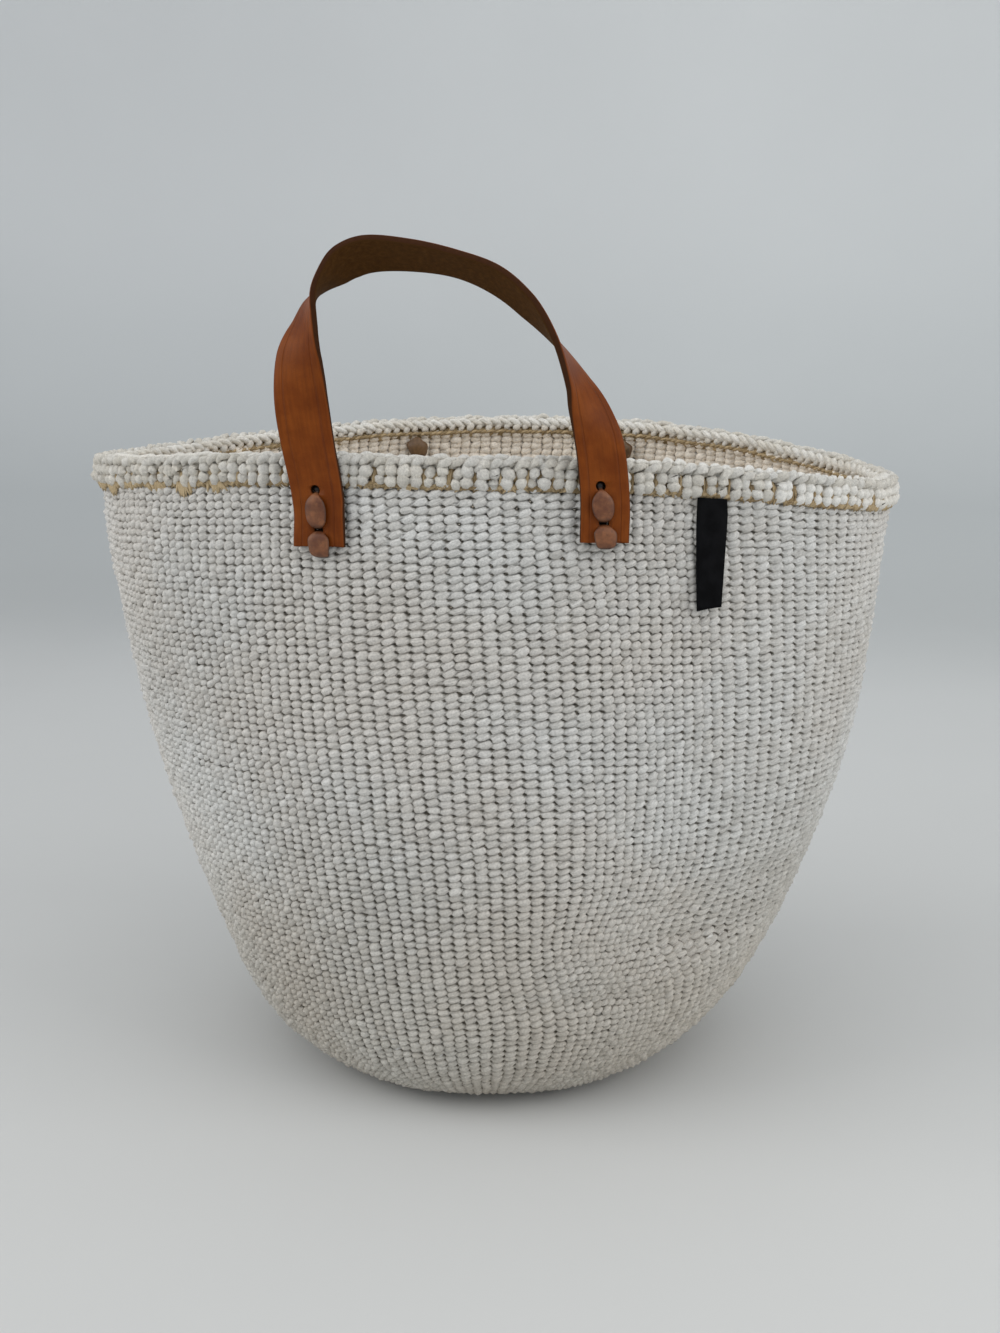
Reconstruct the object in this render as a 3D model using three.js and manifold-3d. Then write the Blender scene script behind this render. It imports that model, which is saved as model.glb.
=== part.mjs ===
// Kiondo: a twined sisal basket with an oval mouth, a braided rim and two laced leather handles.
// Millimetres, +Z up. The origin is the centre of the flat disc that the basket stands on.
// The long side of the mouth runs along X, and the front of the basket faces -Y.

import * as THREE from 'three';
import { mergeVertices } from 'three/addons/utils/BufferGeometryUtils.js';
import Module from 'manifold-3d';

const wasm = await Module();
wasm.setup();

// Body: the oval woven wall and its rounded base
const bodyHeight = 318;
const mouthRadius = 158.3;
const baseRadius = 113.7;
const footRadius = 60;
const wallBulge = 16.2;
const cornerHeight = 68;
const wallThickness = 6;
const leanShift = 2.7;
const leftDroop = 13.7;
const rightDroop = 19.9;
const mouthSqueezeShare = 0.231;
const squeezePower = 0.8;
const cornerPower = 3.05;
const droopPower = 2.5;
const cornerSteps = 7;
const wallSteps = 7;
const roundSegments = 64;

// Rim: the braid that closes the wall, with a sisal cord below it on each side
const rimHeight = 13.6;
const rimProudOutside = 3;
const rimProudInside = 1.6;
const rimRounding = 2.6;
const cordRadius = 1.1;
const cordSides = 6;
const cordSegments = 56;

// Leather strap of a handle: tab, bend and arch
const strapWidth = 21.5;
const strapThickness = 3;
const tabSpacing = 123;
const tabLength = 39;
const archRise = 75.5;
const bendRadius = 5.5;
const foldAngle = THREE.MathUtils.degToRad(172);
const foldDrop = 14;
const tabSteps = 5;
const bendSteps = 6;
const archSteps = 44;
const bisectionSteps = 40;
const levelCutHeight = 25;

// Leather lace: it holds a tab to the wall with an upper stitch, a lower stitch and a knot inside
const laceWidth = 4.5;
const stitchWidth = 8.4;
const laceThickness = 2;
const laceLegHeight = 2.6;
const laceTopDrop = 19;
const laceMiddleDrop = 32;
const laceFootDrop = 43.4;
const laceHeadLength = 3;
const knotRadius = 4.6;
const knotSides = 10;
const knotFlatShare = 0.8;

// Label: a woven ribbon that hangs below the rim, held by one thread stitch
const labelWidth = 15;
const labelLength = 48;
const labelThickness = 0.8;
const labelLift = 2.2;
const labelAngle = THREE.MathUtils.degToRad(-56);
const labelAcrossSteps = 4;
const labelDownSteps = 8;
const threadLength = 10;
const threadSize = 1;
const threadDepth = 4;
const threadInset = 3;

// Clearances between neighbouring pieces
const gap = 0.3;
const tabClearance = 0.4;
const laceClearance = 0.6;
const cutOverrun = 6;

// The leather's bending line: the axis that the arch turns about when the handle folds
const bendLength = bendRadius * foldAngle;
const hingeDrop = bendLength / 2;
const hingeOut = bendRadius - hingeDrop / Math.tan(foldAngle / 2);

const rimBottom = bodyHeight - rimHeight;
const wallTop = rimBottom - gap;
const tabFoot = bodyHeight - tabLength;

const leather = new THREE.MeshStandardMaterial({ color: 0x9c5a34, roughness: 0.55, metalness: 0 });
const laceLeather = new THREE.MeshStandardMaterial({ color: 0xa9643f, roughness: 0.6, metalness: 0 });
const weft = new THREE.MeshStandardMaterial({ color: 0xe6e2d8, roughness: 0.95, metalness: 0 });
const sisal = new THREE.MeshStandardMaterial({ color: 0xc8ac7c, roughness: 0.9, metalness: 0 });
const ribbon = new THREE.MeshStandardMaterial({ color: 0x17171a, roughness: 0.8, metalness: 0 });
const thread = new THREE.MeshStandardMaterial({ color: 0x202022, roughness: 0.8, metalness: 0 });

// Mean radius of the outer surface at a height: a bulging wall that rounds over into the foot disc
function meanRadius(z) {
  const rise = z / bodyHeight;
  const wall = baseRadius + (mouthRadius - baseRadius) * rise + wallBulge * 4 * rise * (1 - rise);
  const below = THREE.MathUtils.clamp(1 - z / cornerHeight, 0, 1);
  const rounded = (1 - below ** cornerPower) ** (1 / cornerPower);
  return footRadius + (wall - footRadius) * rounded;
}

// Half lengths of the oval at a height, grown by an offset from the outer surface
function halfSizes(z, offset) {
  const squeeze = mouthSqueezeShare * Math.max(z / bodyHeight, 0) ** squeezePower;
  const radius = meanRadius(z);
  return [radius * (1 + squeeze) + offset, radius * (1 - squeeze) + offset];
}

// Sideways shift of the oval's centre: the basket leans a little to the right
function shiftAt(z) {
  return leanShift * (1 - (1 - z / bodyHeight) ** 2);
}

// Point of the wall at an angle about Z, a height, and an offset from the outer surface
function wallPoint(angle, z, offset) {
  const [halfX, halfY] = halfSizes(z, offset);
  const across = Math.cos(angle);
  const droop = across < 0 ? leftDroop : rightDroop;
  const sag = droop * Math.abs(across) ** droopPower * (z / bodyHeight) ** 2;
  return new THREE.Vector3(shiftAt(z) + halfX * across, halfY * Math.sin(angle), z - sag);
}

// Turns a round solid about Z into the oval, drooping, leaning one
function fitToBasket(geometry) {
  const place = geometry.attributes.position;
  const point = new THREE.Vector3();
  for (let i = 0; i < place.count; i += 1) {
    point.fromBufferAttribute(place, i);
    const reach = Math.hypot(point.x, point.y);
    const moved = wallPoint(Math.atan2(point.y, point.x), point.z, reach - meanRadius(point.z));
    place.setXYZ(i, moved.x, moved.y, moved.z);
  }
  return geometry;
}

// Solid of revolution from a profile of [radius, height] points
function turned(profile, segments) {
  const points = profile.map(([radius, z]) => new THREE.Vector2(radius, z));
  return new THREE.LatheGeometry(points, segments).rotateX(Math.PI / 2);
}

// Ring that follows the wall, from a closed section of [offset, height] points
function wallRing(section, segments) {
  const profile = section.map(([offset, z]) => [meanRadius(z) + offset, z]);
  profile.push(profile[0]);
  return fitToBasket(turned(profile, segments));
}

function toSolid(geometry) {
  const bare = geometry.clone();
  bare.deleteAttribute('normal');
  bare.deleteAttribute('uv');
  const merged = mergeVertices(bare);
  const corners = merged.index.array;
  const kept = [];
  for (let i = 0; i < corners.length; i += 3) {
    const [a, b, c] = corners.slice(i, i + 3);
    if (a !== b && b !== c && c !== a) {
      kept.push(a, b, c);
    }
  }
  return new wasm.Manifold(new wasm.Mesh({
    numProp: 3,
    vertProperties: merged.attributes.position.array,
    triVerts: new Uint32Array(kept),
  }));
}

function toGeometry(solid) {
  const mesh = solid.getMesh();
  const geometry = new THREE.BufferGeometry();
  geometry.setAttribute('position', new THREE.BufferAttribute(mesh.vertProperties, 3));
  geometry.setIndex(new THREE.BufferAttribute(mesh.triVerts, 1));
  geometry.computeVertexNormals();
  return geometry;
}

function cutAway(geometry, cutters) {
  return toGeometry(cutters.reduce((solid, cutter) => solid.subtract(toSolid(cutter)), toSolid(geometry)));
}

function addMesh(group, name, geometry, material) {
  const mesh = new THREE.Mesh(geometry, material);
  mesh.name = name;
  group.add(mesh);
  return mesh;
}

// Body profile: out along the foot disc, up the outer wall, over its edge and back down the inner wall
function bodyProfile() {
  const heights = [];
  for (let i = 1; i <= cornerSteps; i += 1) {
    heights.push(cornerHeight * (i / cornerSteps) ** 2);
  }
  for (let i = 1; i <= wallSteps; i += 1) {
    heights.push(cornerHeight + (wallTop - cornerHeight) * (i / wallSteps));
  }
  const outer = heights.map((z) => [meanRadius(z), z]);
  const inner = [[footRadius, wallThickness]];
  for (let i = 0; i < outer.length - 1; i += 1) {
    const before = i > 0 ? outer[i - 1] : [footRadius, 0];
    const slope = Math.atan2(outer[i + 1][1] - before[1], outer[i + 1][0] - before[0]);
    inner.push([
      outer[i][0] - wallThickness * Math.sin(slope),
      outer[i][1] + wallThickness * Math.cos(slope),
    ]);
  }
  const edge = outer[outer.length - 1];
  inner.push([edge[0] - wallThickness, edge[1]]);
  return [[0, 0], [footRadius, 0], ...outer, ...inner.reverse(), [0, wallThickness]];
}

// Rim section: an upright rounded bar, proud of the wall on both sides
function rimSection() {
  const outside = rimProudOutside;
  const inside = -wallThickness - rimProudInside;
  return [
    [outside - rimRounding, rimBottom],
    [outside, rimBottom + rimRounding],
    [outside, bodyHeight - rimRounding],
    [outside - rimRounding, bodyHeight],
    [inside + rimRounding, bodyHeight],
    [inside, bodyHeight - rimRounding],
    [inside, rimBottom + rimRounding],
    [inside + rimRounding, rimBottom],
  ];
}

// Cord section: a round cord just below the rim, at a given offset from the outer surface
function cordSection(offset) {
  const section = [];
  for (let i = 0; i < cordSides; i += 1) {
    const turn = (-i / cordSides) * Math.PI * 2;
    section.push([
      offset + cordRadius * Math.cos(turn),
      rimBottom - gap - cordRadius + cordRadius * Math.sin(turn),
    ]);
  }
  return section.reverse();
}

// Where the wall lies behind a tab, seen from the middle of the mouth: its distance out at a height
function wallOut(z, offset) {
  const [halfX, halfY] = halfSizes(z, offset);
  return halfY * Math.sqrt(1 - (tabSpacing / 2 / halfX) ** 2);
}

// A tab turns with the wall: the angle between its face and the X axis
const [tabHalfX, tabHalfY] = halfSizes(tabFoot, 0);
const tabTurn = Math.atan2(tabSpacing / 2 / tabHalfX ** 2, wallOut(tabFoot, 0) / tabHalfY ** 2);

// The strap's plane rests on the wall at the tab's foot and on the rim's face above it
const rimFace = rimBottom + rimRounding;
const strapReach = (tabClearance + strapThickness / 2) / Math.cos(tabTurn);
const footOut = wallOut(tabFoot, 0) + strapReach;
const rimOut = wallOut(rimFace, rimProudOutside) + strapReach;
const strapLean = Math.atan2(footOut - rimOut, rimFace - tabFoot);
const hingeHeight = bodyHeight + hingeDrop;
const strapOut = footOut - (hingeHeight - tabFoot) * Math.tan(strapLean);

// Centre line of the raised arch: [share of half the tab spacing, share of the rise, share of a half turn]
const archRouteShares = [
  [-1.065, -0.041, 0.5],
  [-1.089, 0.097, 0.515],
  [-1.107, 0.268, 0.455],
  [-1.104, 0.442, 0.354],
  [-1.061, 0.592, 0.209],
  [-1.023, 0.701, 0.128],
  [-0.956, 0.799, 0.008],
  [-0.85, 0.884, -0.109],
  [-0.758, 0.945, -0.173],
  [-0.62, 0.984, -0.19],
  [-0.327, 0.978, -0.163],
  [-0.009, 0.93, -0.14],
  [0.256, 0.844, -0.161],
  [0.462, 0.71, -0.14],
  [0.65, 0.525, -0.038],
  [0.812, 0.29, 0.115],
  [0.898, 0.135, 0.285],
  [0.957, -0.03, 0.4],
];

// Whole strap route, foot to foot: x along the basket, z up from the bending line
const tabFace = 0.5 - tabTurn / Math.PI;
const footBelow = -hingeDrop - tabLength;
const straightBelow = -hingeDrop - tabLength / 2;
const strapRoute = [
  [-tabSpacing / 2, footBelow, tabFace],
  [-tabSpacing / 2, straightBelow, tabFace],
  ...archRouteShares.map(([x, z, turn]) => [x * tabSpacing / 2, z * archRise, turn]),
  [tabSpacing / 2, straightBelow, tabFace],
  [tabSpacing / 2, footBelow, tabFace],
];
const strapLine = new THREE.CatmullRomCurve3(strapRoute.map(([x, z]) => new THREE.Vector3(x, 0, z)));
const strapTurn = new THREE.CatmullRomCurve3(strapRoute.map(([, , turn]) => new THREE.Vector3(turn, 0, 0)));

// Share of the route at which one leg of the strap reaches a height
function routeShare(height, side) {
  let low = side < 0 ? 0 : 1;
  let high = 0.5;
  for (let i = 0; i < bisectionSteps; i += 1) {
    const middle = (low + high) / 2;
    if (strapLine.getPoint(middle).z < height) {
      low = middle;
    } else {
      high = middle;
    }
  }
  return low;
}

// Frame of the strap at a share of its route: centre, width direction and face direction.
// Up to the end of the bend the strap is cut level, so that it folds along one straight line.
function strapFrame(share) {
  const centre = strapLine.getPoint(share);
  const along = strapLine.getTangent(share);
  const upright = new THREE.Vector3(0, 0, Math.sign(along.z));
  along.lerp(upright, 1 - THREE.MathUtils.smoothstep(centre.z, hingeDrop, levelCutHeight)).normalize();
  const turn = strapTurn.getPoint(share).x * Math.PI;
  const outOfArch = new THREE.Vector3(-along.z, 0, along.x);
  const face = outOfArch.multiplyScalar(Math.cos(turn));
  face.y = -Math.sin(turn);
  const across = new THREE.Vector3().crossVectors(face, along);
  return { centre, face, across };
}

// Where a point of the raised strap goes when the strap is folded outward.
// A folded strap bends lower down than a raised one, so that its bend stays below the rim's top.
function folded(point) {
  const out = -point.y;
  const up = point.z + foldDrop;
  if (up <= -hingeDrop) {
    return point;
  }
  if (up < hingeDrop) {
    const turn = foldAngle * (up + hingeDrop) / bendLength;
    const reach = bendRadius - out;
    point.y = reach * Math.cos(turn) - bendRadius;
    point.z = reach * Math.sin(turn) - hingeDrop - foldDrop;
    return point;
  }
  const beyond = out - hingeOut;
  point.y = -(hingeOut + beyond * Math.cos(foldAngle) + up * Math.sin(foldAngle));
  point.z = up * Math.cos(foldAngle) - beyond * Math.sin(foldAngle) - foldDrop;
  return point;
}

// Stretch of the strap between two shares of its route
function strapStretch(from, to, steps, isFolded) {
  const geometry = new THREE.BoxGeometry(1, 1, 1, 1, 1, steps);
  const place = geometry.attributes.position;
  const unit = new THREE.Vector3();
  for (let i = 0; i < place.count; i += 1) {
    unit.fromBufferAttribute(place, i);
    const { centre, face, across } = strapFrame(from + (to - from) * (unit.z + 0.5));
    const point = centre.addScaledVector(across, unit.x * strapWidth);
    point.addScaledVector(face, unit.y * strapThickness);
    if (isFolded) {
      folded(point);
    }
    place.setXYZ(i, point.x, point.y, point.z);
  }
  geometry.computeVertexNormals();
  return geometry;
}

// Lace: seen from the side, flat stitches outside, three narrow legs through tab and wall, and a run inside.
// Its shape lies in the plane of y (into the basket) and z (up from the bending line).
const stitchOut = -strapThickness / 2 - laceClearance - laceThickness;
const runIn = wallThickness + rimProudOutside + strapThickness / 2 + tabClearance + gap;
const knotIn = runIn + gap + cordRadius * 2 + knotRadius * knotFlatShare;
const laceDrops = [laceTopDrop, laceMiddleDrop, laceFootDrop];

function laceLegCentre(drop) {
  return -hingeDrop - drop;
}

function rectangle(left, bottom, right, top) {
  const path = new THREE.Path();
  path.moveTo(left, bottom);
  path.lineTo(right, bottom);
  path.lineTo(right, top);
  path.lineTo(left, top);
  path.closePath();
  return path;
}

// Turns a shape's x, y and depth into y, z and x of the strap's frame, centred on its width
function standAcross(geometry, width) {
  const axes = new THREE.Matrix4().makeBasis(
    new THREE.Vector3(0, 1, 0),
    new THREE.Vector3(0, 0, 1),
    new THREE.Vector3(1, 0, 0),
  );
  return geometry.translate(0, 0, -width / 2).applyMatrix4(axes);
}

function laceGeometry() {
  const half = laceLegHeight / 2;
  const inner = stitchOut + laceThickness;
  const runBack = runIn + laceThickness;
  const legTop = laceLegCentre(laceTopDrop) + half;
  const foot = laceLegCentre(laceFootDrop) - half;
  const shape = new THREE.Shape();
  shape.moveTo(stitchOut, foot);
  shape.lineTo(runBack, foot);
  shape.lineTo(runBack, legTop - laceLegHeight);
  shape.lineTo(knotIn, legTop - laceLegHeight);
  shape.lineTo(knotIn, legTop);
  shape.lineTo(inner, legTop);
  shape.lineTo(inner, legTop + laceHeadLength);
  shape.lineTo(stitchOut, legTop + laceHeadLength);
  shape.closePath();
  for (let i = 0; i < laceDrops.length - 1; i += 1) {
    const windowTop = laceLegCentre(laceDrops[i]) - half;
    const windowBottom = laceLegCentre(laceDrops[i + 1]) + half;
    shape.holes.push(rectangle(inner, windowBottom, runIn, windowTop));
  }
  const lace = new THREE.ExtrudeGeometry(shape, { depth: laceWidth, bevelEnabled: false });
  const stitch = new THREE.BoxGeometry(stitchWidth, laceThickness, legTop - foot);
  stitch.translate(0, stitchOut + laceThickness / 2, (legTop + foot) / 2);
  const knot = new THREE.SphereGeometry(knotRadius, knotSides, knotSides / 2);
  knot.scale(1, knotFlatShare, 1);
  knot.translate(0, knotIn, legTop);
  const bar = toSolid(standAcross(lace, laceWidth));
  return toGeometry(bar.add(toSolid(stitch)).add(toSolid(knot)));
}

// Openings that the lace's legs pass through, in the lace's own frame
function laceCutters() {
  const depth = runIn - stitchOut + cutOverrun * 2;
  return laceDrops.map((drop) => {
    const cutter = new THREE.BoxGeometry(laceWidth + gap * 2, depth, laceLegHeight + gap * 2);
    return cutter.translate(0, (runIn + stitchOut) / 2, laceLegCentre(drop));
  });
}

// A lace stands in the middle of its tab and turns with it
function laceTurnMatrix(side) {
  const matrix = new THREE.Matrix4().makeRotationZ(side * tabTurn);
  return matrix.setPosition(side * tabSpacing / 2, 0, 0);
}

const product = new THREE.Group();
const wallCutters = [];

// One handle: a strap cut into tabs, bends and an arch, and a lace for each tab
function addHandle(name, facing, isFolded) {
  const side = new THREE.Group();
  side.position.x = leanShift;
  side.rotation.z = facing;
  const plane = new THREE.Group();
  plane.position.set(0, -strapOut, hingeHeight);
  plane.rotation.x = -strapLean;
  side.add(plane);
  product.add(side);
  product.updateMatrixWorld(true);

  const line = isFolded ? -foldDrop : 0;
  for (const [end, sign] of [['left', -1], ['right', 1]]) {
    const placed = (cutter) => cutter.applyMatrix4(laceTurnMatrix(sign));
    const foot = sign < 0 ? 0 : 1;
    const tabEnd = routeShare(line - hingeDrop - gap / 2, sign);
    const bendFrom = routeShare(line - hingeDrop + gap / 2, sign);
    const bendTo = routeShare(line + hingeDrop - gap / 2, sign);
    const tab = strapStretch(Math.min(foot, tabEnd), Math.max(foot, tabEnd), tabSteps, isFolded);
    addMesh(plane, `${name}_tab_${end}`, cutAway(tab, laceCutters().map(placed)), leather);
    const bend = strapStretch(Math.min(bendFrom, bendTo), Math.max(bendFrom, bendTo), bendSteps, isFolded);
    addMesh(plane, `${name}_bend_${end}`, bend, leather);
    addMesh(plane, `${name}_lace_${end}`, laceGeometry().applyMatrix4(laceTurnMatrix(sign)), laceLeather);
    for (const cutter of laceCutters().map(placed)) {
      wallCutters.push(cutter.applyMatrix4(plane.matrixWorld));
    }
  }

  const archFrom = routeShare(line + hingeDrop + gap / 2, -1);
  const archTo = routeShare(line + hingeDrop + gap / 2, 1);
  addMesh(plane, `${name}_arch`, strapStretch(archFrom, archTo, archSteps, isFolded), leather);
}

addHandle('front_handle', 0, false);
addHandle('rear_handle', Math.PI, true);

// Label: hangs from just below the cord and stands a little off the wall at its lower end
const labelTop = rimBottom - gap - cordRadius * 2 - gap;
const [labelHalfX, labelHalfY] = halfSizes(labelTop, 0);
const labelArc = Math.hypot(labelHalfX * Math.sin(labelAngle), labelHalfY * Math.cos(labelAngle));

function labelGeometry() {
  const geometry = new THREE.BoxGeometry(1, 1, 1, labelAcrossSteps, 1, labelDownSteps);
  const place = geometry.attributes.position;
  for (let i = 0; i < place.count; i += 1) {
    const down = 0.5 - place.getZ(i);
    const offset = tabClearance + labelThickness * (0.5 - place.getY(i)) + labelLift * down ** 2;
    const angle = labelAngle + labelWidth * place.getX(i) / labelArc;
    const point = wallPoint(angle, labelTop - labelLength * down, offset);
    place.setXYZ(i, point.x, point.y, point.z);
  }
  geometry.computeVertexNormals();
  return geometry;
}

// Frame on the wall at the label's stitch: x along the wall, y into the basket, z up
function stitchMatrix() {
  const height = labelTop - threadInset;
  const centre = wallPoint(labelAngle, height, 0);
  const along = new THREE.Vector3(-labelHalfX * Math.sin(labelAngle), labelHalfY * Math.cos(labelAngle), 0);
  along.normalize();
  const up = wallPoint(labelAngle, labelTop, 0).sub(centre);
  const inward = new THREE.Vector3().crossVectors(up, along).normalize();
  up.crossVectors(along, inward);
  return new THREE.Matrix4().makeBasis(along, inward, up).setPosition(centre);
}

// Thread stitch: a bar over the label with a leg through it at each end
function stitchGeometry() {
  const half = threadLength / 2;
  const under = -tabClearance - labelThickness - gap;
  const shape = new THREE.Shape();
  shape.moveTo(-half, under - threadSize);
  shape.lineTo(half, under - threadSize);
  shape.lineTo(half, threadDepth);
  shape.lineTo(half - threadSize, threadDepth);
  shape.lineTo(half - threadSize, under);
  shape.lineTo(threadSize - half, under);
  shape.lineTo(threadSize - half, threadDepth);
  shape.lineTo(-half, threadDepth);
  shape.closePath();
  const stitch = new THREE.ExtrudeGeometry(shape, { depth: threadSize, bevelEnabled: false });
  return stitch.translate(0, 0, -threadSize / 2).applyMatrix4(stitchMatrix());
}

function stitchCutters() {
  const size = threadSize + gap * 2;
  const deep = threadDepth + gap;
  const length = deep + cutOverrun;
  return [-1, 1].map((sign) => {
    const cutter = new THREE.BoxGeometry(size, length, size);
    cutter.translate(sign * (threadLength - threadSize) / 2, deep - length / 2, 0);
    return cutter.applyMatrix4(stitchMatrix());
  });
}

addMesh(product, 'label', cutAway(labelGeometry(), stitchCutters()), ribbon);
addMesh(product, 'label_stitch', stitchGeometry(), thread);
wallCutters.push(...stitchCutters());

const body = fitToBasket(turned(bodyProfile(), roundSegments));
addMesh(product, 'woven_body', cutAway(body, wallCutters), weft);
addMesh(product, 'rim_braid', wallRing(rimSection(), roundSegments), weft);
addMesh(product, 'rim_cord_outer', wallRing(cordSection(cordRadius + gap), cordSegments), sisal);
const insideCord = -wallThickness - cordRadius - gap;
addMesh(product, 'rim_cord_inner', wallRing(cordSection(insideCord), cordSegments), sisal);

export default product;
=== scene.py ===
# Kiondo basket: the woven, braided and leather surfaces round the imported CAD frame.
# Metres, +Z up. The origin is the centre of the base, and the front faces -Y.

import math

import bmesh
import bpy
import numpy as np
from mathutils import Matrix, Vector, kdtree


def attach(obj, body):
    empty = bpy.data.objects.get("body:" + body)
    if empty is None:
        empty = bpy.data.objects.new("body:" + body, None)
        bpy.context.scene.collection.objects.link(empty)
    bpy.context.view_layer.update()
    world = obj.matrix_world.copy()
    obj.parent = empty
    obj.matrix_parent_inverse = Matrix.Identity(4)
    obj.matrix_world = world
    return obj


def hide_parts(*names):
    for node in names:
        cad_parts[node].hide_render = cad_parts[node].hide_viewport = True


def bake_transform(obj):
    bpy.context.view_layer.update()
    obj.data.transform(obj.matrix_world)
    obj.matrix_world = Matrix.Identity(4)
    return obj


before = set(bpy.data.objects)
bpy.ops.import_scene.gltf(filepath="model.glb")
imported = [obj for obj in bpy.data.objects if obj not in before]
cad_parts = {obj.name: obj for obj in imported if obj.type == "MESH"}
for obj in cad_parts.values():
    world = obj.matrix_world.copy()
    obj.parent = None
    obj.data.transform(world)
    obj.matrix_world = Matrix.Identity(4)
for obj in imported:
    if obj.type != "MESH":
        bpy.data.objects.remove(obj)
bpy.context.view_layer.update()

MM = 0.001

# Body: the same oval as the CAD wall
BODY_HEIGHT = 318 * MM
MOUTH_RADIUS = 158.3 * MM
BASE_RADIUS = 113.7 * MM
FOOT_RADIUS = 60 * MM
WALL_BULGE = 16.2 * MM
CORNER_HEIGHT = 68 * MM
WALL_THICKNESS = 6 * MM
LEAN_SHIFT = 2.7 * MM
LEFT_DROOP = 13.7 * MM
RIGHT_DROOP = 19.9 * MM
MOUTH_SQUEEZE = 0.231
SQUEEZE_POWER = 0.8
CORNER_POWER = 3.05
DROOP_POWER = 2.5

# Where the soft wall and the rim leave that oval at their left and right ends
LEFT_REACH = 6 * MM
LEFT_LIFT = 2.4 * MM
LEFT_TWIST = 1.2 * MM
RIGHT_LIFT = 2.6 * MM
RIGHT_PULL = 1.4 * MM

# Swells of the wall's two ends: size, height where full, upper end, and how far each takes
# to fade there
LEFT_SWELL = 3.7 * MM
LEFT_SWELL_FULL = 270 * MM
LEFT_SWELL_END = 315 * MM
LEFT_SWELL_FADE = 40 * MM
RIGHT_SWELL = 4.8 * MM
RIGHT_SWELL_FULL = 90 * MM
RIGHT_SWELL_END = 270 * MM
RIGHT_SWELL_FADE = 110 * MM

# Soft dent in the lower right of the wall, which fades towards the floor: angle, height, spreads
# and depth
DENTS = [
    (-43, 104 * MM, 17, 22 * MM, 4.2 * MM),
    (-46, 92 * MM, 14, 5 * MM, 3.4 * MM),
    (-30, 118 * MM, 9, 7 * MM, 2.6 * MM),
    (-64, 66 * MM, 13, 7 * MM, 2.2 * MM),
]
DENT_FADE = 30 * MM

# Where the dent pulls the columns sideways: angle, height, spreads and pull
PULLS = [
    (-50, 96 * MM, 20, 20 * MM, -12 * MM),
    (-66, 52 * MM, 18, 20 * MM, 5 * MM),
]

# Small bumps all over the wall, which die away towards the rim and the foot
BUMP_SIZE = 0.9 * MM
BUMP_FADE = 60 * MM

# Twined weave: every row has two weft strands, which swing out and in over the warps
ROW_PITCH = 3.5 * MM
FIRST_ROW = 2
BAND_ROWS = 11
WEAVE_TOP = 311.5 * MM
COLUMN_COUNT = 176
COLUMN_SAMPLES = 4
COLUMN_LEAN = 0.05
NARROWEST_COLUMN = 3.3 * MM
FEWEST_COLUMNS = 11
SPREAD_TOP = 288 * MM
SPREAD_LOW = 24 * MM
SPREAD_SHARE = 0.3
STRAND_RADIUS = 2.0 * MM
STRAND_SWING = 1.25 * MM
STRAND_SLANT = 0.9 * MM
STRAND_PINCH = 0.56
INNER_PLUMP = 0.42
RIM_INSET = 1.6 * MM
BASE_INSET = 0.7 * MM
BASE_EDGE = 12 * MM
# Column widths in millimetres at the top of the wall, by angle
COLUMN_WIDTHS = [
    (-180, 5.0), (-134, 4.9), (-112, 5.0), (-103, 6.1), (-76, 6.2), (-71, 4.5), (-58, 4.4),
    (-52, 6.8), (-33, 7.2), (-20, 6.0), (90, 6.0), (160, 5.4), (180, 5.0),
]

# Shape of a stitch: how blunt it is outside and inside, and how much a plump one gains
OUTER_BLUNT = 0.95
INNER_BLUNT = 0.5
PLUMP_SHARE = 0.2

# Tone: how much each stitch has of its own, soft shades over the wall, and painted shade at the
# edges between the rows, where the strands tuck under
TONE_SPREAD = 0.32
SHADE_SPREAD = 0.3
EDGE_SHADE = 1.25

# Unevenness: spread and limit of the draws, then rows, columns, and each stitch out, up, tilted
# and sideways
DRAW_SPREAD = 0.6
DRAW_LIMIT = 1.5
ROW_WANDER = 0.55 * MM
COLUMN_WANDER = 0.6 * MM
STITCH_PUSH = 0.45 * MM
STITCH_LIFT = 0.42 * MM
STITCH_TILT = 0.5 * MM
STITCH_STRAY = 0.5 * MM

# Warp cords, bent at every row in the dent and at every fourth row elsewhere
WARP_RADIUS = 0.9 * MM
WARP_DEPTH = -WALL_THICKNESS / 2 - 0.4 * MM
WARP_START = 6 * MM
WARP_SHORT = 2 * MM
WARP_STEP = 4
WARP_DENT = 0.2 * MM

# Coil in the middle of the base
COIL_TURNS = 2.4
COIL_SAMPLES = 60
COIL_START = 0.4 * MM
COIL_PITCH = 2.6 * MM
COIL_RADIUS = 2.3 * MM
# Share of painted warm bounce light on the coil, which faces into the basket
INSIDE_BOUNCE = 0.64

# Rim
RIM_HEIGHT = 13.6 * MM
RIM_BOTTOM = BODY_HEIGHT - RIM_HEIGHT
UNIT_PITCH = 10.9 * MM
CHAIN_PITCH = 5.5 * MM
# Tufts of bare sisal below the rim: angle, width and length in millimetres
SISAL_TUFTS = [
    (-176, 12, 5.0), (-168, 14, 5.5), (-160, 12, 6.5), (-153, 10, 8.5), (-146, 13, 4.5),
    (-138, 14, 5.5), (-131, 10, 8.5), (-125, 9, 6.5), (-110, 6, 3.0), (-96, 7, 3.5),
    (-84, 8, 3.5), (-72, 6, 3.0), (-40, 14, 2.6), (-31, 14, 3.0), (-22, 14, 4.0),
    (-14, 15, 4.4), (-6, 12, 4.0), (24, 9, 5.0), (52, 8, 4.0), (81, 7, 5.0),
    (112, 9, 4.0), (140, 8, 6.0), (164, 7, 4.5),
]

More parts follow.
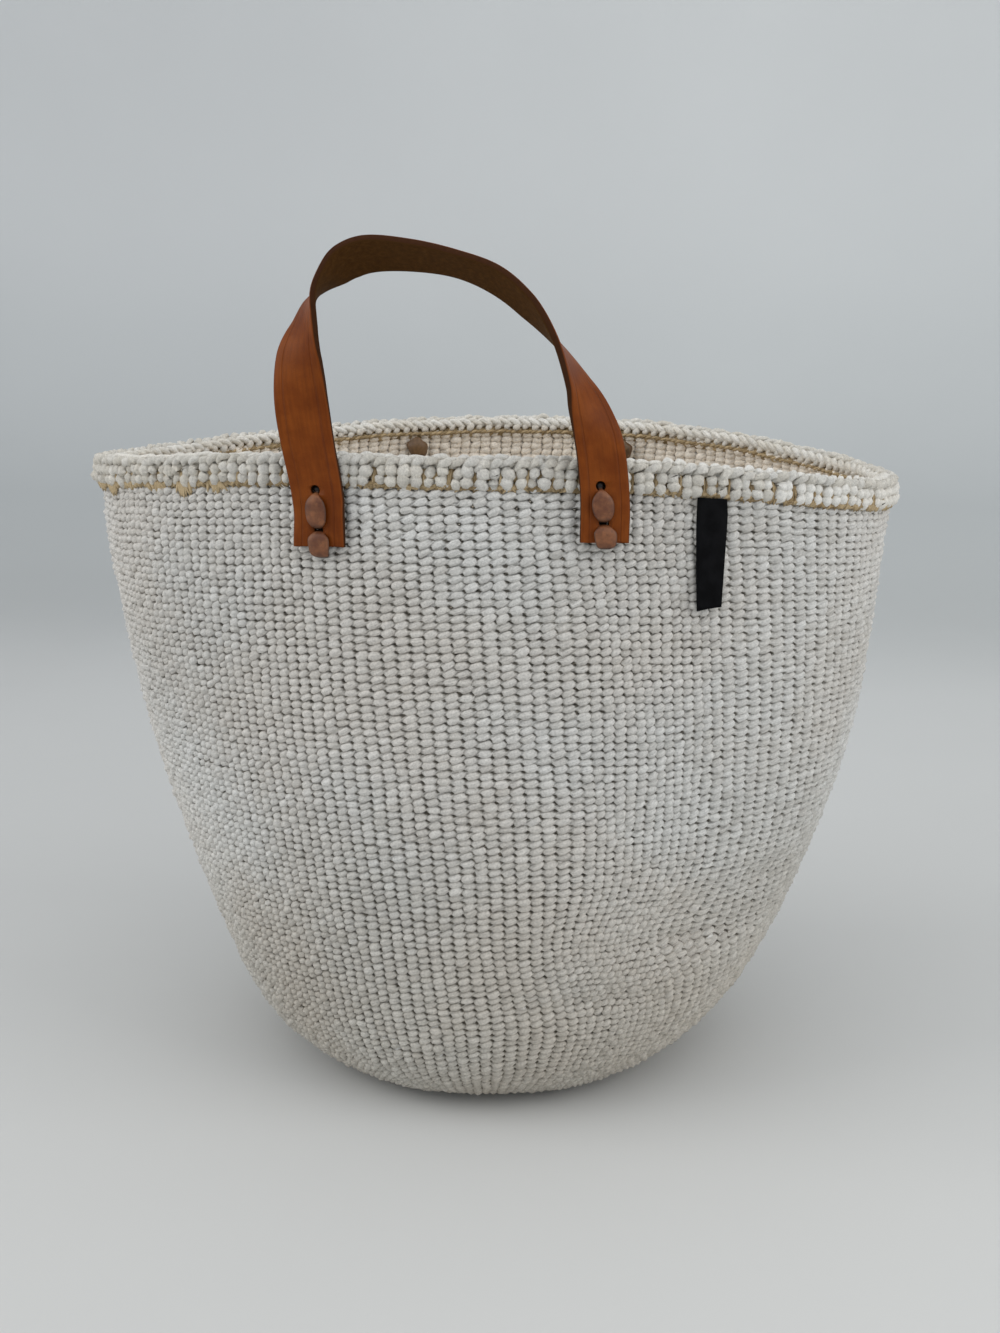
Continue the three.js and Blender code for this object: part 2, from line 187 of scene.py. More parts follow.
# Leather straps, on the CAD's routes
STRAP_THICKNESS = 3 * MM
TAB_SPACING = 123 * MM
ARCH_RISE = 75.5 * MM
BEND_RADIUS = 5.5 * MM
FOLD_ANGLE = math.radians(172)
FOLD_DROP = 14 * MM
LEVEL_CUT = 25 * MM
STRAP_OUT = 121.906 * MM
BEND_LENGTH = BEND_RADIUS * FOLD_ANGLE
HINGE_DROP = BEND_LENGTH / 2
HINGE_OUT = BEND_RADIUS - HINGE_DROP / math.tan(FOLD_ANGLE / 2)
HINGE_HEIGHT = BODY_HEIGHT + HINGE_DROP
EDGE_BEND = 0.9 * MM
# Folded strap: how far it lies flat on each side of its bend, and the lengths over which it
# twists there
FLAT_BEFORE = 10 * MM
EASE_BEFORE = 9 * MM
FLAT_AFTER = 4 * MM
EASE_AFTER = 25 * MM
# Share of the strap's length where its width begins to change, and the share that the change takes
WIDTH_START = 0.2
WIDTH_SHARE = 0.6
# Size of the waves in the tab's lower edge, and how far up they reach
TAB_WAVE = 0.35 * MM
TAB_WAVE_REACH = 7 * MM
FACE_SHARES = (0.72, 0.4, 0, -0.4, -0.72)
FRONT_SAMPLES = 340
REAR_SAMPLES = 300
ROUTE_SAMPLES = 2400
# Middle line of the arch: across and up, as shares of half the tab spacing and of the rise,
# and its turn
ARCH_ROUTE = [
    (-1.065, -0.041, 0.5), (-1.089, 0.097, 0.515), (-1.107, 0.268, 0.455), (-1.104, 0.442, 0.354),
    (-1.061, 0.592, 0.209), (-1.023, 0.701, 0.128), (-0.956, 0.799, 0.008), (-0.85, 0.884, -0.109),
    (-0.758, 0.945, -0.173), (-0.62, 0.984, -0.19), (-0.327, 0.978, -0.163), (-0.009, 0.93, -0.14),
    (0.256, 0.844, -0.161), (0.462, 0.71, -0.14), (0.65, 0.525, -0.038), (0.812, 0.29, 0.115),
    (0.898, 0.135, 0.285), (0.957, -0.03, 0.4),
]

# The two ends of each strap, left and then right: width, turn and length of the tab, how far
# the lace's holes and foot lie below the bend, how the lace leans, and how far below the bend
# it leans about
FRONT_ENDS = [
    {"width": 23.4 * MM, "turn": math.radians(7.6), "length": 39 * MM,
     "drops": (14.8 * MM, 32 * MM, 43 * MM), "lean": 0.06, "upright": 27 * MM},
    {"width": 20.9 * MM, "turn": math.radians(12.2), "length": 35 * MM,
     "drops": (11.4 * MM, 27.2 * MM, 37 * MM), "lean": 0.1, "upright": 32 * MM},
]
REAR_ENDS = [
    {"width": 21.5 * MM, "turn": math.radians(12.2), "length": 39 * MM,
     "drops": (19 * MM, 32 * MM, 43.4 * MM), "lean": lean, "upright": 30 * MM}
    for lean in (0.03, -0.02)
]
HOLE_WIDTH = 4.3 * MM
HOLE_DEPTH = 9 * MM

# Laces
THONG_SIDES = 16
THONG_STEPS = 24
KNOT_RADIUS = 6 * MM
KNOT_HEIGHT = 300.5 * MM
KNOT_FLAT = 0.55
KNOT_TALL = 0.9

# Label
LABEL_WIDTH = 15 * MM
LABEL_LENGTH = 48 * MM
LABEL_THICKNESS = 0.6 * MM
LABEL_ANGLE = math.radians(-56)
LABEL_TOP = RIM_BOTTOM - 0.6 * MM
WALL_RADIUS_THERE = 180 * MM

rng = np.random.default_rng(2295)


# Basket shape

def mean_radius(z):
    rise = z / BODY_HEIGHT
    side = BASE_RADIUS + (MOUTH_RADIUS - BASE_RADIUS) * rise + WALL_BULGE * 4 * rise * (1 - rise)
    below = np.clip(1 - z / CORNER_HEIGHT, 0, 1)
    rounded = (1 - below ** CORNER_POWER) ** (1 / CORNER_POWER)
    return FOOT_RADIUS + (side - FOOT_RADIUS) * rounded


def profile_table():
    """Distance along the profile from the base's centre, and the mean radius, height and slope."""
    share = np.linspace(0, 1, 1500)
    low = CORNER_HEIGHT * share ** 3
    high = CORNER_HEIGHT + (BODY_HEIGHT - CORNER_HEIGHT) * share[1:]
    z = np.concatenate([[0], low, high])
    r = np.concatenate([[0], mean_radius(low), mean_radius(high)])
    s = np.concatenate([[0], np.cumsum(np.hypot(np.diff(r), np.diff(z)))])
    rising = s + np.arange(len(s)) * 1e-12
    slope = np.unwrap(np.arctan2(np.gradient(z, rising), np.gradient(r, rising)))
    return s, r, z, slope


PROFILE_S, PROFILE_R, PROFILE_Z, PROFILE_SLOPE = profile_table()
WEAVE_END = np.interp(WEAVE_TOP, PROFILE_Z, PROFILE_S)
# The base is flat, so the foot's edge lies as far along the profile as its radius
FOOT_S = FOOT_RADIUS


def bells(table, theta, z):
    """Sum of soft bells: angle, height, spread round the basket, spread in height, and size."""
    total = 0
    for angle, height, spread, band, size in table:
        turn = (np.degrees(theta) - angle + 180) % 360 - 180
        total = total + size * np.exp(-(turn / spread) ** 2 - ((z - height) / band) ** 2)
    return total


def wave_table(seed, count, turns, lengths):
    """Seeded waves that close round the basket: turns round, waves along, phases and sizes."""
    made = np.random.default_rng(seed)
    return list(zip(
        made.integers(turns[0], turns[1], count),
        2 * np.pi / made.uniform(lengths[0], lengths[1], count) * made.choice([-1, 1], count),
        made.uniform(0, 2 * np.pi, count),
        made.uniform(0.5, 1, count),
    ))


def waves(table, theta, s):
    total = sum(size for _, _, _, size in table)
    return sum(size * np.sin(m * theta + k * s + p) for m, k, p, size in table) / total * 2


BUMP_WAVES = wave_table(3, 9, (2, 9), (0.12, 0.4))
ROW_WAVES = wave_table(5, 10, (6, 26), (0.05, 0.16))
SIDE_WAVES = wave_table(7, 10, (8, 40), (0.04, 0.12))
SHADE_WAVES = wave_table(11, 8, (1, 7), (0.1, 0.5))


def smoothstep(x):
    x = np.clip(x, 0, 1)
    return x * x * (3 - 2 * x)


def wall(theta, s, depth, lift=0):
    """Points of the basket: angle about Z, way along the profile, depth out from the outer face."""
    r = np.interp(s, PROFILE_S, PROFILE_R)
    z = np.interp(s, PROFILE_S, PROFILE_Z)
    slope = np.interp(s, PROFILE_S, PROFILE_SLOPE)
    firm = np.clip((s - FOOT_S * 0.6) / FOOT_S, 0, 1) * np.clip((BODY_HEIGHT - z) / BUMP_FADE, 0, 1)
    depth = depth - bells(DENTS, theta, z) * np.clip(z / DENT_FADE, 0, 1)
    depth = depth + BUMP_SIZE * waves(BUMP_WAVES, theta, s) * firm
    squeeze = MOUTH_SQUEEZE * (np.maximum(z, 0) / BODY_HEIGHT) ** SQUEEZE_POWER
    out, up = np.sin(slope), -np.cos(slope)
    half_x = r * (1 + squeeze) + depth * out
    half_y = r * (1 - squeeze) + depth * out
    across, aside = np.cos(theta), np.sin(theta)
    left, right = np.maximum(-across, 0), np.maximum(across, 0)
    high = (np.maximum(z, 0) / BODY_HEIGHT) ** 4

    swell = LEFT_SWELL * left ** 3 * np.clip(z / LEFT_SWELL_FULL, 0, 1) ** 1.3
    swell_left = swell * smoothstep((LEFT_SWELL_END - z) / LEFT_SWELL_FADE)
    swell = RIGHT_SWELL * right ** 3 * smoothstep(z / RIGHT_SWELL_FULL)
    swell_right = swell * smoothstep((RIGHT_SWELL_END - z) / RIGHT_SWELL_FADE)
    shift = LEAN_SHIFT * (1 - (1 - z / BODY_HEIGHT) ** 2) - LEFT_REACH * left ** 4 * high
    shift = shift - swell_left - RIGHT_PULL * right ** 4 * high + swell_right

    droop = np.where(across < 0, LEFT_DROOP, RIGHT_DROOP)
    sag = droop * np.abs(across) ** DROOP_POWER * (z / BODY_HEIGHT) ** 2
    sag = sag - (LEFT_LIFT * left ** 8 - 2 * LEFT_TWIST * left * aside) * high
    sag = sag - RIGHT_LIFT * right ** 8 * (1 + 0.5 * aside) * high
    return np.stack([shift + half_x * across, half_y * aside, z + depth * up - sag + lift], axis=-1)


def wall_line(theta, s, depth, lift=0):
    """Points of the basket, and the way out of the wall at each."""
    points = wall(theta, s, depth, lift)
    return points, wall(theta, s, depth + MM, lift) - points


def at_height(z):
    return np.interp(z, PROFILE_Z, PROFILE_S)


def travelled(points):
    """Length along a line of points, up to each of them."""
    return np.concatenate([[0], np.cumsum(np.linalg.norm(np.diff(points, axis=0), axis=1))])


def column_table():
    """Angle of each share of the columns at the top of the wall, from the columns' widths there."""
    theta = np.radians(np.linspace(-180, 180, 3601))
    squeeze = MOUTH_SQUEEZE * (SPREAD_TOP / BODY_HEIGHT) ** SQUEEZE_POWER
    radius = mean_radius(SPREAD_TOP)
    rate = np.hypot(radius * (1 + squeeze) * np.sin(theta), radius * (1 - squeeze) * np.cos(theta))
    angles, widths = zip(*COLUMN_WIDTHS)
    each = rate / np.interp(np.degrees(theta), angles, widths)
    share = np.concatenate([[0], np.cumsum((each[1:] + each[:-1]) / 2)])
    return share / share[-1], theta


COLUMN_SHARE, COLUMN_THETA = column_table()


def column_angle(share, z):
    """Angle of a column: by the widths at the top, and spread towards front and back lower down."""
    turns = np.floor(share)
    theta = np.interp(share - turns, COLUMN_SHARE, COLUMN_THETA)
    low = np.clip((SPREAD_TOP - z) / (SPREAD_TOP - SPREAD_LOW), 0, 1)
    low = low * np.clip(z / SPREAD_LOW, 0, 1)
    spread = SPREAD_SHARE * low
    return theta + 2 * np.pi * turns + spread * np.sin(2 * (theta + np.pi / 2)) / 2


def sideways(theta, s):
    """How far a column strays round the basket, as an angle."""
    z = np.interp(s, PROFILE_S, PROFILE_Z)
    stray = COLUMN_WANDER * waves(SIDE_WAVES, theta, s) + bells(PULLS, theta, z)
    return stray / np.maximum(np.interp(s, PROFILE_S, PROFILE_R), 30 * MM)


def level_count(s):
    """Number of columns at a distance along the profile: halved where they would get too narrow."""
    count = COLUMN_COUNT
    round_length = 2 * np.pi * np.interp(s, PROFILE_S, PROFILE_R)
    while round_length / count < NARROWEST_COLUMN and count % 2 == 0 and count > FEWEST_COLUMNS:
        count //= 2
    return count


# Making meshes

def add_object(name, data):
    made = bpy.data.objects.new(name, data)
    bpy.context.scene.collection.objects.link(made)
    return made


def new_mesh(name, bm):
    mesh = bpy.data.meshes.new(name)
    bm.to_mesh(mesh)
    bm.free()
    return mesh


def vertex_places(mesh):
    place = np.empty(len(mesh.vertices) * 3)
    mesh.vertices.foreach_get("co", place)
    return place.reshape(-1, 3)


def outward(mesh):
    """Turns the faces outward where the closed mesh is inside out."""
    mesh.calc_loop_triangles()
    index = np.empty(len(mesh.loop_triangles) * 3, dtype=np.int32)
    mesh.loop_triangles.foreach_get("vertices", index)
    a, b, c = vertex_places(mesh)[index.reshape(-1, 3)].transpose(1, 0, 2)
    if np.einsum("ij,ij->i", a, np.cross(b, c)).sum() < 0:
        mesh.flip_normals()


def weld(mesh, distance=1e-6):
    bm = bmesh.new()
    bm.from_mesh(mesh)
    bmesh.ops.remove_doubles(bm, verts=bm.verts, dist=distance)
    bm.to_mesh(mesh)
    bm.free()


def strand(line, radii, tone, inner_bounce=0.0, edge=0.0, ends=0.0):
    """One strand for tubes(). The line is its points and the way out of the wall at each.

    The rest is one number, or one for each point. Tone goes from pale to dark. Inner bounce grows
    inward and paints warm bounce light there. Edge paints shade on the strand's upper side, or its
    lower one where negative. Ends paint shade on it all round.
    """
    points, outs = line
    marks = {"radii": radii, "tone": tone, "inner_bounce": inner_bounce, "edge": edge, "ends": ends}
    flat = np.zeros(len(points))
    return {"points": points, "outs": outs, **{key: flat + value for key, value in marks.items()}}


def tubes(name, strands, cyclic, resolution=1):
    """One mesh of round strands."""
    curve = bpy.data.curves.new(name, "CURVE")
    curve.dimensions = "3D"
    curve.bevel_depth = 1
    curve.bevel_resolution = resolution
    curve.use_fill_caps = not cyclic
    for each in strands:
        spline = curve.splines.new("POLY")
        spline.points.add(len(each["points"]) - 1)
        spline.points.foreach_set("co", np.c_[each["points"], np.ones(len(each["points"]))].ravel())
        spline.points.foreach_set("radius", each["radii"])
        spline.use_cyclic_u = cyclic
    carrier = add_object(name, curve)
    depsgraph = bpy.context.evaluated_depsgraph_get()
    mesh = bpy.data.meshes.new_from_object(carrier.evaluated_get(depsgraph))
    bpy.data.objects.remove(carrier)
    bpy.data.curves.remove(curve)
    mark_strands(mesh, strands, 4 + 2 * resolution)
    if not cyclic:
        weld(mesh)
    mesh.shade_smooth()
    outward(mesh)
    mesh.name = name
    return add_object(name, mesh)


def mark_strands(mesh, strands, sides):
    """Writes each vertex's place in its strand (along, out, sideways), its tone, painted bounce
    light and painted gap shade.
    """
    place = vertex_places(mesh)
    fibre = np.zeros((len(place), 3), dtype=np.float32)
    marks = {key: np.zeros(len(place), dtype=np.float32) for key in ("tone", "inner_bounce", "gap")}
    start = 0
    for each in strands:
        points, outs = each["points"], each["outs"]
        part = slice(start, start + len(points) * sides)
        start = part.stop
        along = np.roll(points, -1, 0) - np.roll(points, 1, 0)
        along[0] = points[1] - points[0]
        along[-1] = points[-1] - points[-2]
        along /= np.linalg.norm(along, axis=1, keepdims=True)
        out = outs - np.einsum("ij,ij->i", outs, along)[:, None] * along
        out /= np.linalg.norm(out, axis=1, keepdims=True)
        ring = place[part].reshape(len(points), sides, 3) - points[:, None]
        fibre[part, 0] = np.repeat(travelled(points) + rng.uniform(0, 3), sides)
        fibre[part, 1] = np.einsum("ijk,ik->ij", ring, out).ravel()
        fibre[part, 2] = np.einsum("ijk,ik->ij", ring, np.cross(along, out)).ravel()
        radii, edge, ends = (np.repeat(each[key], sides) for key in ("radii", "edge", "ends"))
        marks["tone"][part] = np.repeat(each["tone"], sides)
        marks["inner_bounce"][part] = np.repeat(each["inner_bounce"], sides)
        # Painted shade: on one side as the edge gives, and all round at the ends
        marks["gap"][part] = np.clip(-edge * fibre[part, 2] / radii, 0, 1) + ends
    mesh.attributes.new("fibre", "FLOAT_VECTOR", "POINT").data.foreach_set("vector", fibre.ravel())
    for key, values in marks.items():
        mesh.attributes.new(key, "FLOAT", "POINT").data.foreach_set("value", values)


def skin(name, around, along, place, layers):
    """Closed skin round a row of sections: place(a, t) is a point, layers(a, t) its attributes."""
    bm = bmesh.new()
    bmesh.ops.create_grid(bm, x_segments=around, y_segments=along, size=0.5)
    marks = {key: bm.verts.layers.float.new(key) for key in layers(0, 0)}
    for vert in bm.verts:
        a, t = vert.co.x + 0.5, vert.co.y + 0.5
        for key, value in layers(a % 1 if a < 1 - 1e-6 else 0, t).items():
            vert[marks[key]] = value
        vert.co = place(a, t)
    bmesh.ops.remove_doubles(bm, verts=bm.verts, dist=1e-7)
    ends = [edge for edge in bm.edges if edge.is_boundary]
    bmesh.ops.holes_fill(bm, edges=ends, sides=0)
    bmesh.ops.recalc_face_normals(bm, faces=bm.faces)
    mesh = new_mesh(name, bm)
    mesh.shade_smooth()
    outward(mesh)
    return add_object(name, mesh)


def finish_piece(made, material, body, nodes=()):
    made.data.materials.clear()
    made.data.materials.append(material)
    if body:
        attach(made, body)
    if nodes:
        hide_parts(*nodes)
    return made


# Shader helpers

def feed(tree, socket, value):
    """Links another socket to this one, or sets a plain value on it."""
    if isinstance(value, bpy.types.NodeSocket):
        tree.links.new(value, socket)
    else:
        socket.default_value = value


def add_node(tree, kind, inputs=None, **settings):
    made = tree.nodes.new(kind)
    for key, value in settings.items():
        setattr(made, key, value)
    for key, value in (inputs or {}).items():
        feed(tree, made.inputs[key], value)
    return made


def use_group(tree, group, **inputs):
    return add_node(tree, "ShaderNodeGroup", inputs, node_tree=group).outputs


def attribute(tree, name, output="Fac"):
    return add_node(tree, "ShaderNodeAttribute", attribute_name=name).outputs[output]


def object_place(tree):
    return add_node(tree, "ShaderNodeTexCoord").outputs["Object"]


def one_axis(tree, vector, axis):
    return add_node(tree, "ShaderNodeSeparateXYZ", {"Vector": vector}).outputs[axis]


def axes(tree, x, y, z):
    return add_node(tree, "ShaderNodeCombineXYZ", {"X": x, "Y": y, "Z": z}).outputs[0]


def noise(tree, place, scale, detail, roughness):
    return add_node(tree, "ShaderNodeTexNoise", {
        "Vector": place, "Scale": scale, "Detail": detail, "Roughness": roughness,
    }).outputs["Fac"]


def remap(tree, value, low, high, to_low=0.0, to_high=1.0, ease="LINEAR"):
    """Takes a value from one range to another, straight or with a smooth step."""
    return add_node(tree, "ShaderNodeMapRange", {
        "Value": value, "From Min": low, "From Max": high, "To Min": to_low, "To Max": to_high,
    }, interpolation_type=ease).outputs[0]


def ramp(tree, factor, *stops):
    made = add_node(tree, "ShaderNodeValToRGB", {"Fac": factor})
    while len(made.color_ramp.elements) < len(stops):
        made.color_ramp.elements.new(0.5)
    for element, (at, colour) in zip(made.color_ramp.elements, stops):
        element.position = at
        element.color = (*colour, 1)
    return made.outputs["Color"]


def mix(tree, factor, first, second, blend="MIX"):
    made = add_node(tree, "ShaderNodeMix", {0: factor}, data_type="RGBA", blend_type=blend)
    for key, value in ((6, first), (7, second)):
        feed(tree, made.inputs[key], (*value, 1) if isinstance(value, tuple) else value)
    return made.outputs[2]


def maths(tree, operation, *values):
    return add_node(tree, "ShaderNodeMath", dict(enumerate(values)), operation=operation).outputs[0]


def new_group(name, inputs, outputs):
    """Node group of plain values, with its vector input first."""
    tree = bpy.data.node_groups.new(name, "ShaderNodeTree")
    tree.interface.new_socket(name="Vector", in_out="INPUT", socket_type="NodeSocketVector")
    for label, value in inputs.items():
        socket = tree.interface.new_socket(
            name=label, in_out="INPUT", socket_type="NodeSocketFloat",
        )
        socket.default_value = value
    for label in outputs:
        tree.interface.new_socket(name=label, in_out="OUTPUT", socket_type="NodeSocketFloat")
    return tree, tree.nodes.new("NodeGroupInput").outputs, tree.nodes.new("NodeGroupOutput").inputs


def fibre_group():
    """Streaks that run along a strand, and the fine hair height that goes with them."""
    sizes = {"Along": 90.0, "Across": 1500.0}
    tree, given, result = new_group("fibre streaks", sizes, ["Streak", "Height"])
    scale = axes(tree, given["Along"], given["Across"], given["Across"])
    ends = {0: given["Vector"], 1: scale}
    scaled = add_node(tree, "ShaderNodeVectorMath", ends, operation="MULTIPLY")
    streak = noise(tree, scaled.outputs[0], scale=1.0, detail=3.0, roughness=0.6)
    feed(tree, result["Streak"], streak)
    feed(tree, result["Height"], maths(tree, "SUBTRACT", streak, 0.5))
    return tree


def patch_group():
    """Soft cloudy patches over the whole basket."""
    tree, given, result = new_group("cloudy patches", {"Scale": 9.0}, ["Patch"])
    cloud = noise(tree, given["Vector"], given["Scale"], detail=4.0, roughness=0.55)
    feed(tree, result["Patch"], remap(tree, cloud, 0.32, 0.68, ease="SMOOTHSTEP"))
    return tree


FIBRES = fibre_group()
PATCHES = patch_group()


def new_material(name):
    material = bpy.data.materials.new(name)
    material.use_nodes = True
    tree = material.node_tree
    return material, tree, tree.nodes["Principled BSDF"]


def finish_shader(tree, shader, colour, roughness, specular=0.5):
    feed(tree, shader.inputs["Base Color"], colour)
    feed(tree, shader.inputs["Roughness"], roughness)
    shader.inputs["Specular IOR Level"].default_value = specular


def bump(tree, shader, height, distance, strength=0.7):
    made = add_node(tree, "ShaderNodeBump", {
        "Height": height, "Distance": distance, "Strength": strength,
    })
    tree.links.new(made.outputs[0], shader.inputs["Normal"])


# Materials

WHITE = (1, 1, 1)
# Painted warm bounce light on the inward faces of the strands inside the basket, and its share
INNER_BOUNCE_TINT = (1.0, 0.91, 0.79)
INNER_BOUNCE_SHARE = 0.92
# Painted shade low on the outside of the basket, warmed like light bounced off the floor, and the
# height where it ends
LOW_SHADE = (0.80, 0.77, 0.72)
LOW_SHADE_TOP = 200 * MM
# Painted shade in the gaps where strands tuck under one another: its colour and its share
GAP_SHADE_COLOUR = (0.10, 0.085, 0.06)
GAP_SHADE_SHARE = 0.88
PRESSED_LINE = 7.4 * MM
RIBBON_THREADS = {"across": 0.45 * MM, "along": 0.6 * MM}


def strand_material(name, pale, dark, warm, warm_share, roughness, deep=GAP_SHADE_COLOUR, inward=None):
    """Matte plant fibre: pale to dark by strand tone, with warm patches, streaks and speckle.

    Inside the basket the strands take painted warm bounce light. Low on its outside they take
    painted shade, warmed like light off the floor, and at gaps where they tuck under, painted shade.
    """
    material, tree, shader = new_material(name)
    fibre = attribute(tree, "fibre", "Vector")
    place = object_place(tree)
    streaks = use_group(tree, FIBRES, Vector=fibre)
    patch = use_group(tree, PATCHES, Vector=place)["Patch"]
    colour = mix(tree, attribute(tree, "tone"), pale, dark)
    colour = mix(tree, maths(tree, "MULTIPLY", patch, warm_share), colour, warm)
    # Painted warm bounce light on the inward faces, where a strand lies inside the basket
    inside = remap(tree, attribute(tree, "inner_bounce"), 0.5, 0.75)
    faces_out = remap(tree, one_axis(tree, fibre, "Y"), -0.2 * MM, 0.2 * MM)
    inward_bounce = maths(tree, "MULTIPLY_ADD", faces_out, -INNER_BOUNCE_SHARE, INNER_BOUNCE_SHARE)
    colour = mix(tree, maths(tree, "MULTIPLY", inside, inward_bounce), colour, INNER_BOUNCE_TINT)
    # Painted shade in the gaps, on the outward faces only
    gap = remap(tree, attribute(tree, "gap"), 0.12, 0.6, 0.0, GAP_SHADE_SHARE, "SMOOTHSTEP")
    colour = mix(tree, maths(tree, "MULTIPLY", gap, faces_out), colour, deep)
    # A given inward colour: painted bounce light on the faces that look into the basket
    if inward:
        colour = mix(tree, faces_out, inward, colour)
    # Painted shade low on the outside, warmed like light off the floor
    low = remap(tree, one_axis(tree, place, "Z"), LOW_SHADE_TOP, 0.0, ease="SMOOTHSTEP")
    low_shade_mask = maths(tree, "MULTIPLY", low, maths(tree, "SUBTRACT", 1.0, inside))
    colour = mix(tree, low_shade_mask, colour, LOW_SHADE, "MULTIPLY")
    streaky = ramp(tree, streaks["Streak"], (0.3, (0.70,) * 3), (0.62, WHITE))
    colour = mix(tree, 0.8, colour, streaky, "MULTIPLY")
    fuzz = noise(tree, place, scale=950.0, detail=2.0, roughness=0.7)
    speckle = remap(tree, fuzz, 0.36, 0.64, to_low=0.86, to_high=1.10)
    colour = mix(tree, 1.0, colour, speckle, "MULTIPLY")
    finish_shader(tree, shader, colour, roughness, specular=0.25)
    bump(tree, shader, maths(tree, "MULTIPLY_ADD", fuzz, 0.9, streaks["Height"]), 0.5 * MM)
    return material


def leather_material():
    """Tan leather: smooth grain outside, dark rough flesh inside, darker edges and pressed lines."""
    material, tree, shader = new_material("tan leather")
    across, along, side = (attribute(tree, key) for key in ("across", "along", "side"))
    flat = axes(tree, across, along, side)
    wide = use_group(tree, PATCHES, Vector=flat, Scale=60.0)["Patch"]
    streak = use_group(tree, FIBRES, Vector=flat, Along=700.0, Across=45.0)["Streak"]
    mottle = noise(tree, flat, scale=420.0, detail=6.0, roughness=0.7)
    grain = mix(tree, wide, (0.163, 0.034, 0.0026), (0.24, 0.058, 0.006))
    grain = mix(tree, 0.7, grain, ramp(tree, streak, (0.3, (0.72,) * 3), (0.6, WHITE)), "MULTIPLY")
    flesh = ramp(tree, mottle, (0.25, (0.041, 0.015, 0.0019)), (0.5, (0.065, 0.0258, 0.0037)),
                 (0.75, (0.100, 0.041, 0.0085)))
    edge = mix(tree, mottle, (0.018, 0.006, 0.002), (0.08, 0.028, 0.009))
    is_grain = remap(tree, side, 0.35, 0.8)
    is_flesh = remap(tree, side, -0.35, -0.8)
    colour = mix(tree, is_flesh, mix(tree, is_grain, edge, grain), flesh)
    wobble = maths(tree, "MULTIPLY", maths(tree, "SUBTRACT", streak, 0.5), 0.8 * MM)
    reach = maths(tree, "ADD", maths(tree, "ABSOLUTE", across), wobble)
    from_line = maths(tree, "ABSOLUTE", maths(tree, "SUBTRACT", reach, PRESSED_LINE))
    line = remap(tree, from_line, 0.55 * MM, 0.1 * MM, ease="SMOOTHSTEP")
    pressed = maths(tree, "MULTIPLY", line, is_grain)
    colour = mix(tree, maths(tree, "MULTIPLY", pressed, 0.25), colour, (0.08, 0.017, 0.005))
    roughness = remap(tree, is_grain, 0.0, 1.0, to_low=0.85, to_high=0.46)
    finish_shader(tree, shader, colour, roughness, specular=0.13)
    pores = add_node(tree, "ShaderNodeTexVoronoi", {"Vector": object_place(tree), "Scale": 1900.0})
    height = maths(tree, "MULTIPLY", pores.outputs["Distance"], 0.25)
    height = maths(tree, "MULTIPLY_ADD", maths(tree, "MULTIPLY", mottle, is_flesh), 1.2, height)
    bump(tree, shader, maths(tree, "MULTIPLY_ADD", pressed, -0.9, height), 0.35 * MM)
    return material


def lace_material(name, dark, pale):
    """Leather thong, with painted shade along its borders and where it runs into its holes."""
    material, tree, shader = new_material(name)
    place = object_place(tree)
    colour = mix(tree, use_group(tree, PATCHES, Vector=place, Scale=160.0)["Patch"], dark, pale)
    # Painted shade along the borders
    border_shade = remap(tree, attribute(tree, "border_shade"), 0.8, 1.0, 0.0, 0.75)
    colour = mix(tree, border_shade, colour, (0.035, 0.012, 0.005))
    # Painted shade where the thong runs into its holes
    from_middle = maths(tree, "ABSOLUTE", maths(tree, "SUBTRACT", attribute(tree, "along"), 0.5))
    hole_shade = remap(tree, from_middle, 0.23, 0.35, ease="SMOOTHSTEP")
    colour = mix(tree, hole_shade, colour, (0.010, 0.004, 0.002))
    fine = noise(tree, place, scale=700.0, detail=5.0, roughness=0.6)
    shade = ramp(tree, fine, (0.35, (0.7,) * 3), (0.6, WHITE))
    finish_shader(tree, shader, mix(tree, 0.8, colour, shade, "MULTIPLY"), roughness=0.5)
    bump(tree, shader, fine, 0.3 * MM, strength=0.5)
    return material


def ribbon_material():
    """Black woven ribbon: fine crossing threads."""
    material, tree, shader = new_material("black ribbon")
    cross = maths(tree, "MULTIPLY", *(
        maths(tree, "SINE", maths(tree, "MULTIPLY", attribute(tree, key), 2 * math.pi / pitch))
        for key, pitch in RIBBON_THREADS.items()
    ))
    patch = use_group(tree, PATCHES, Vector=object_place(tree), Scale=150.0)["Patch"]
    colour = mix(tree, patch, (0.003, 0.003, 0.0035), (0.007, 0.007, 0.008))
    lit = maths(tree, "MULTIPLY_ADD", cross, 0.15, 0.85)
    colour = mix(tree, 1.0, colour, lit, "MULTIPLY")
    finish_shader(tree, shader, colour, roughness=0.85, specular=0.08)
    bump(tree, shader, cross, 0.06 * MM, strength=0.5)
    return material


def thread_material():
    material, tree, shader = new_material("black thread")
    fibre = attribute(tree, "fibre", "Vector")
    streaks = use_group(tree, FIBRES, Vector=fibre, Along=900.0, Across=4000.0)
    colour = mix(tree, streaks["Streak"], (0.008, 0.008, 0.009), (0.03, 0.03, 0.032))
    finish_shader(tree, shader, colour, roughness=0.7)
    return material


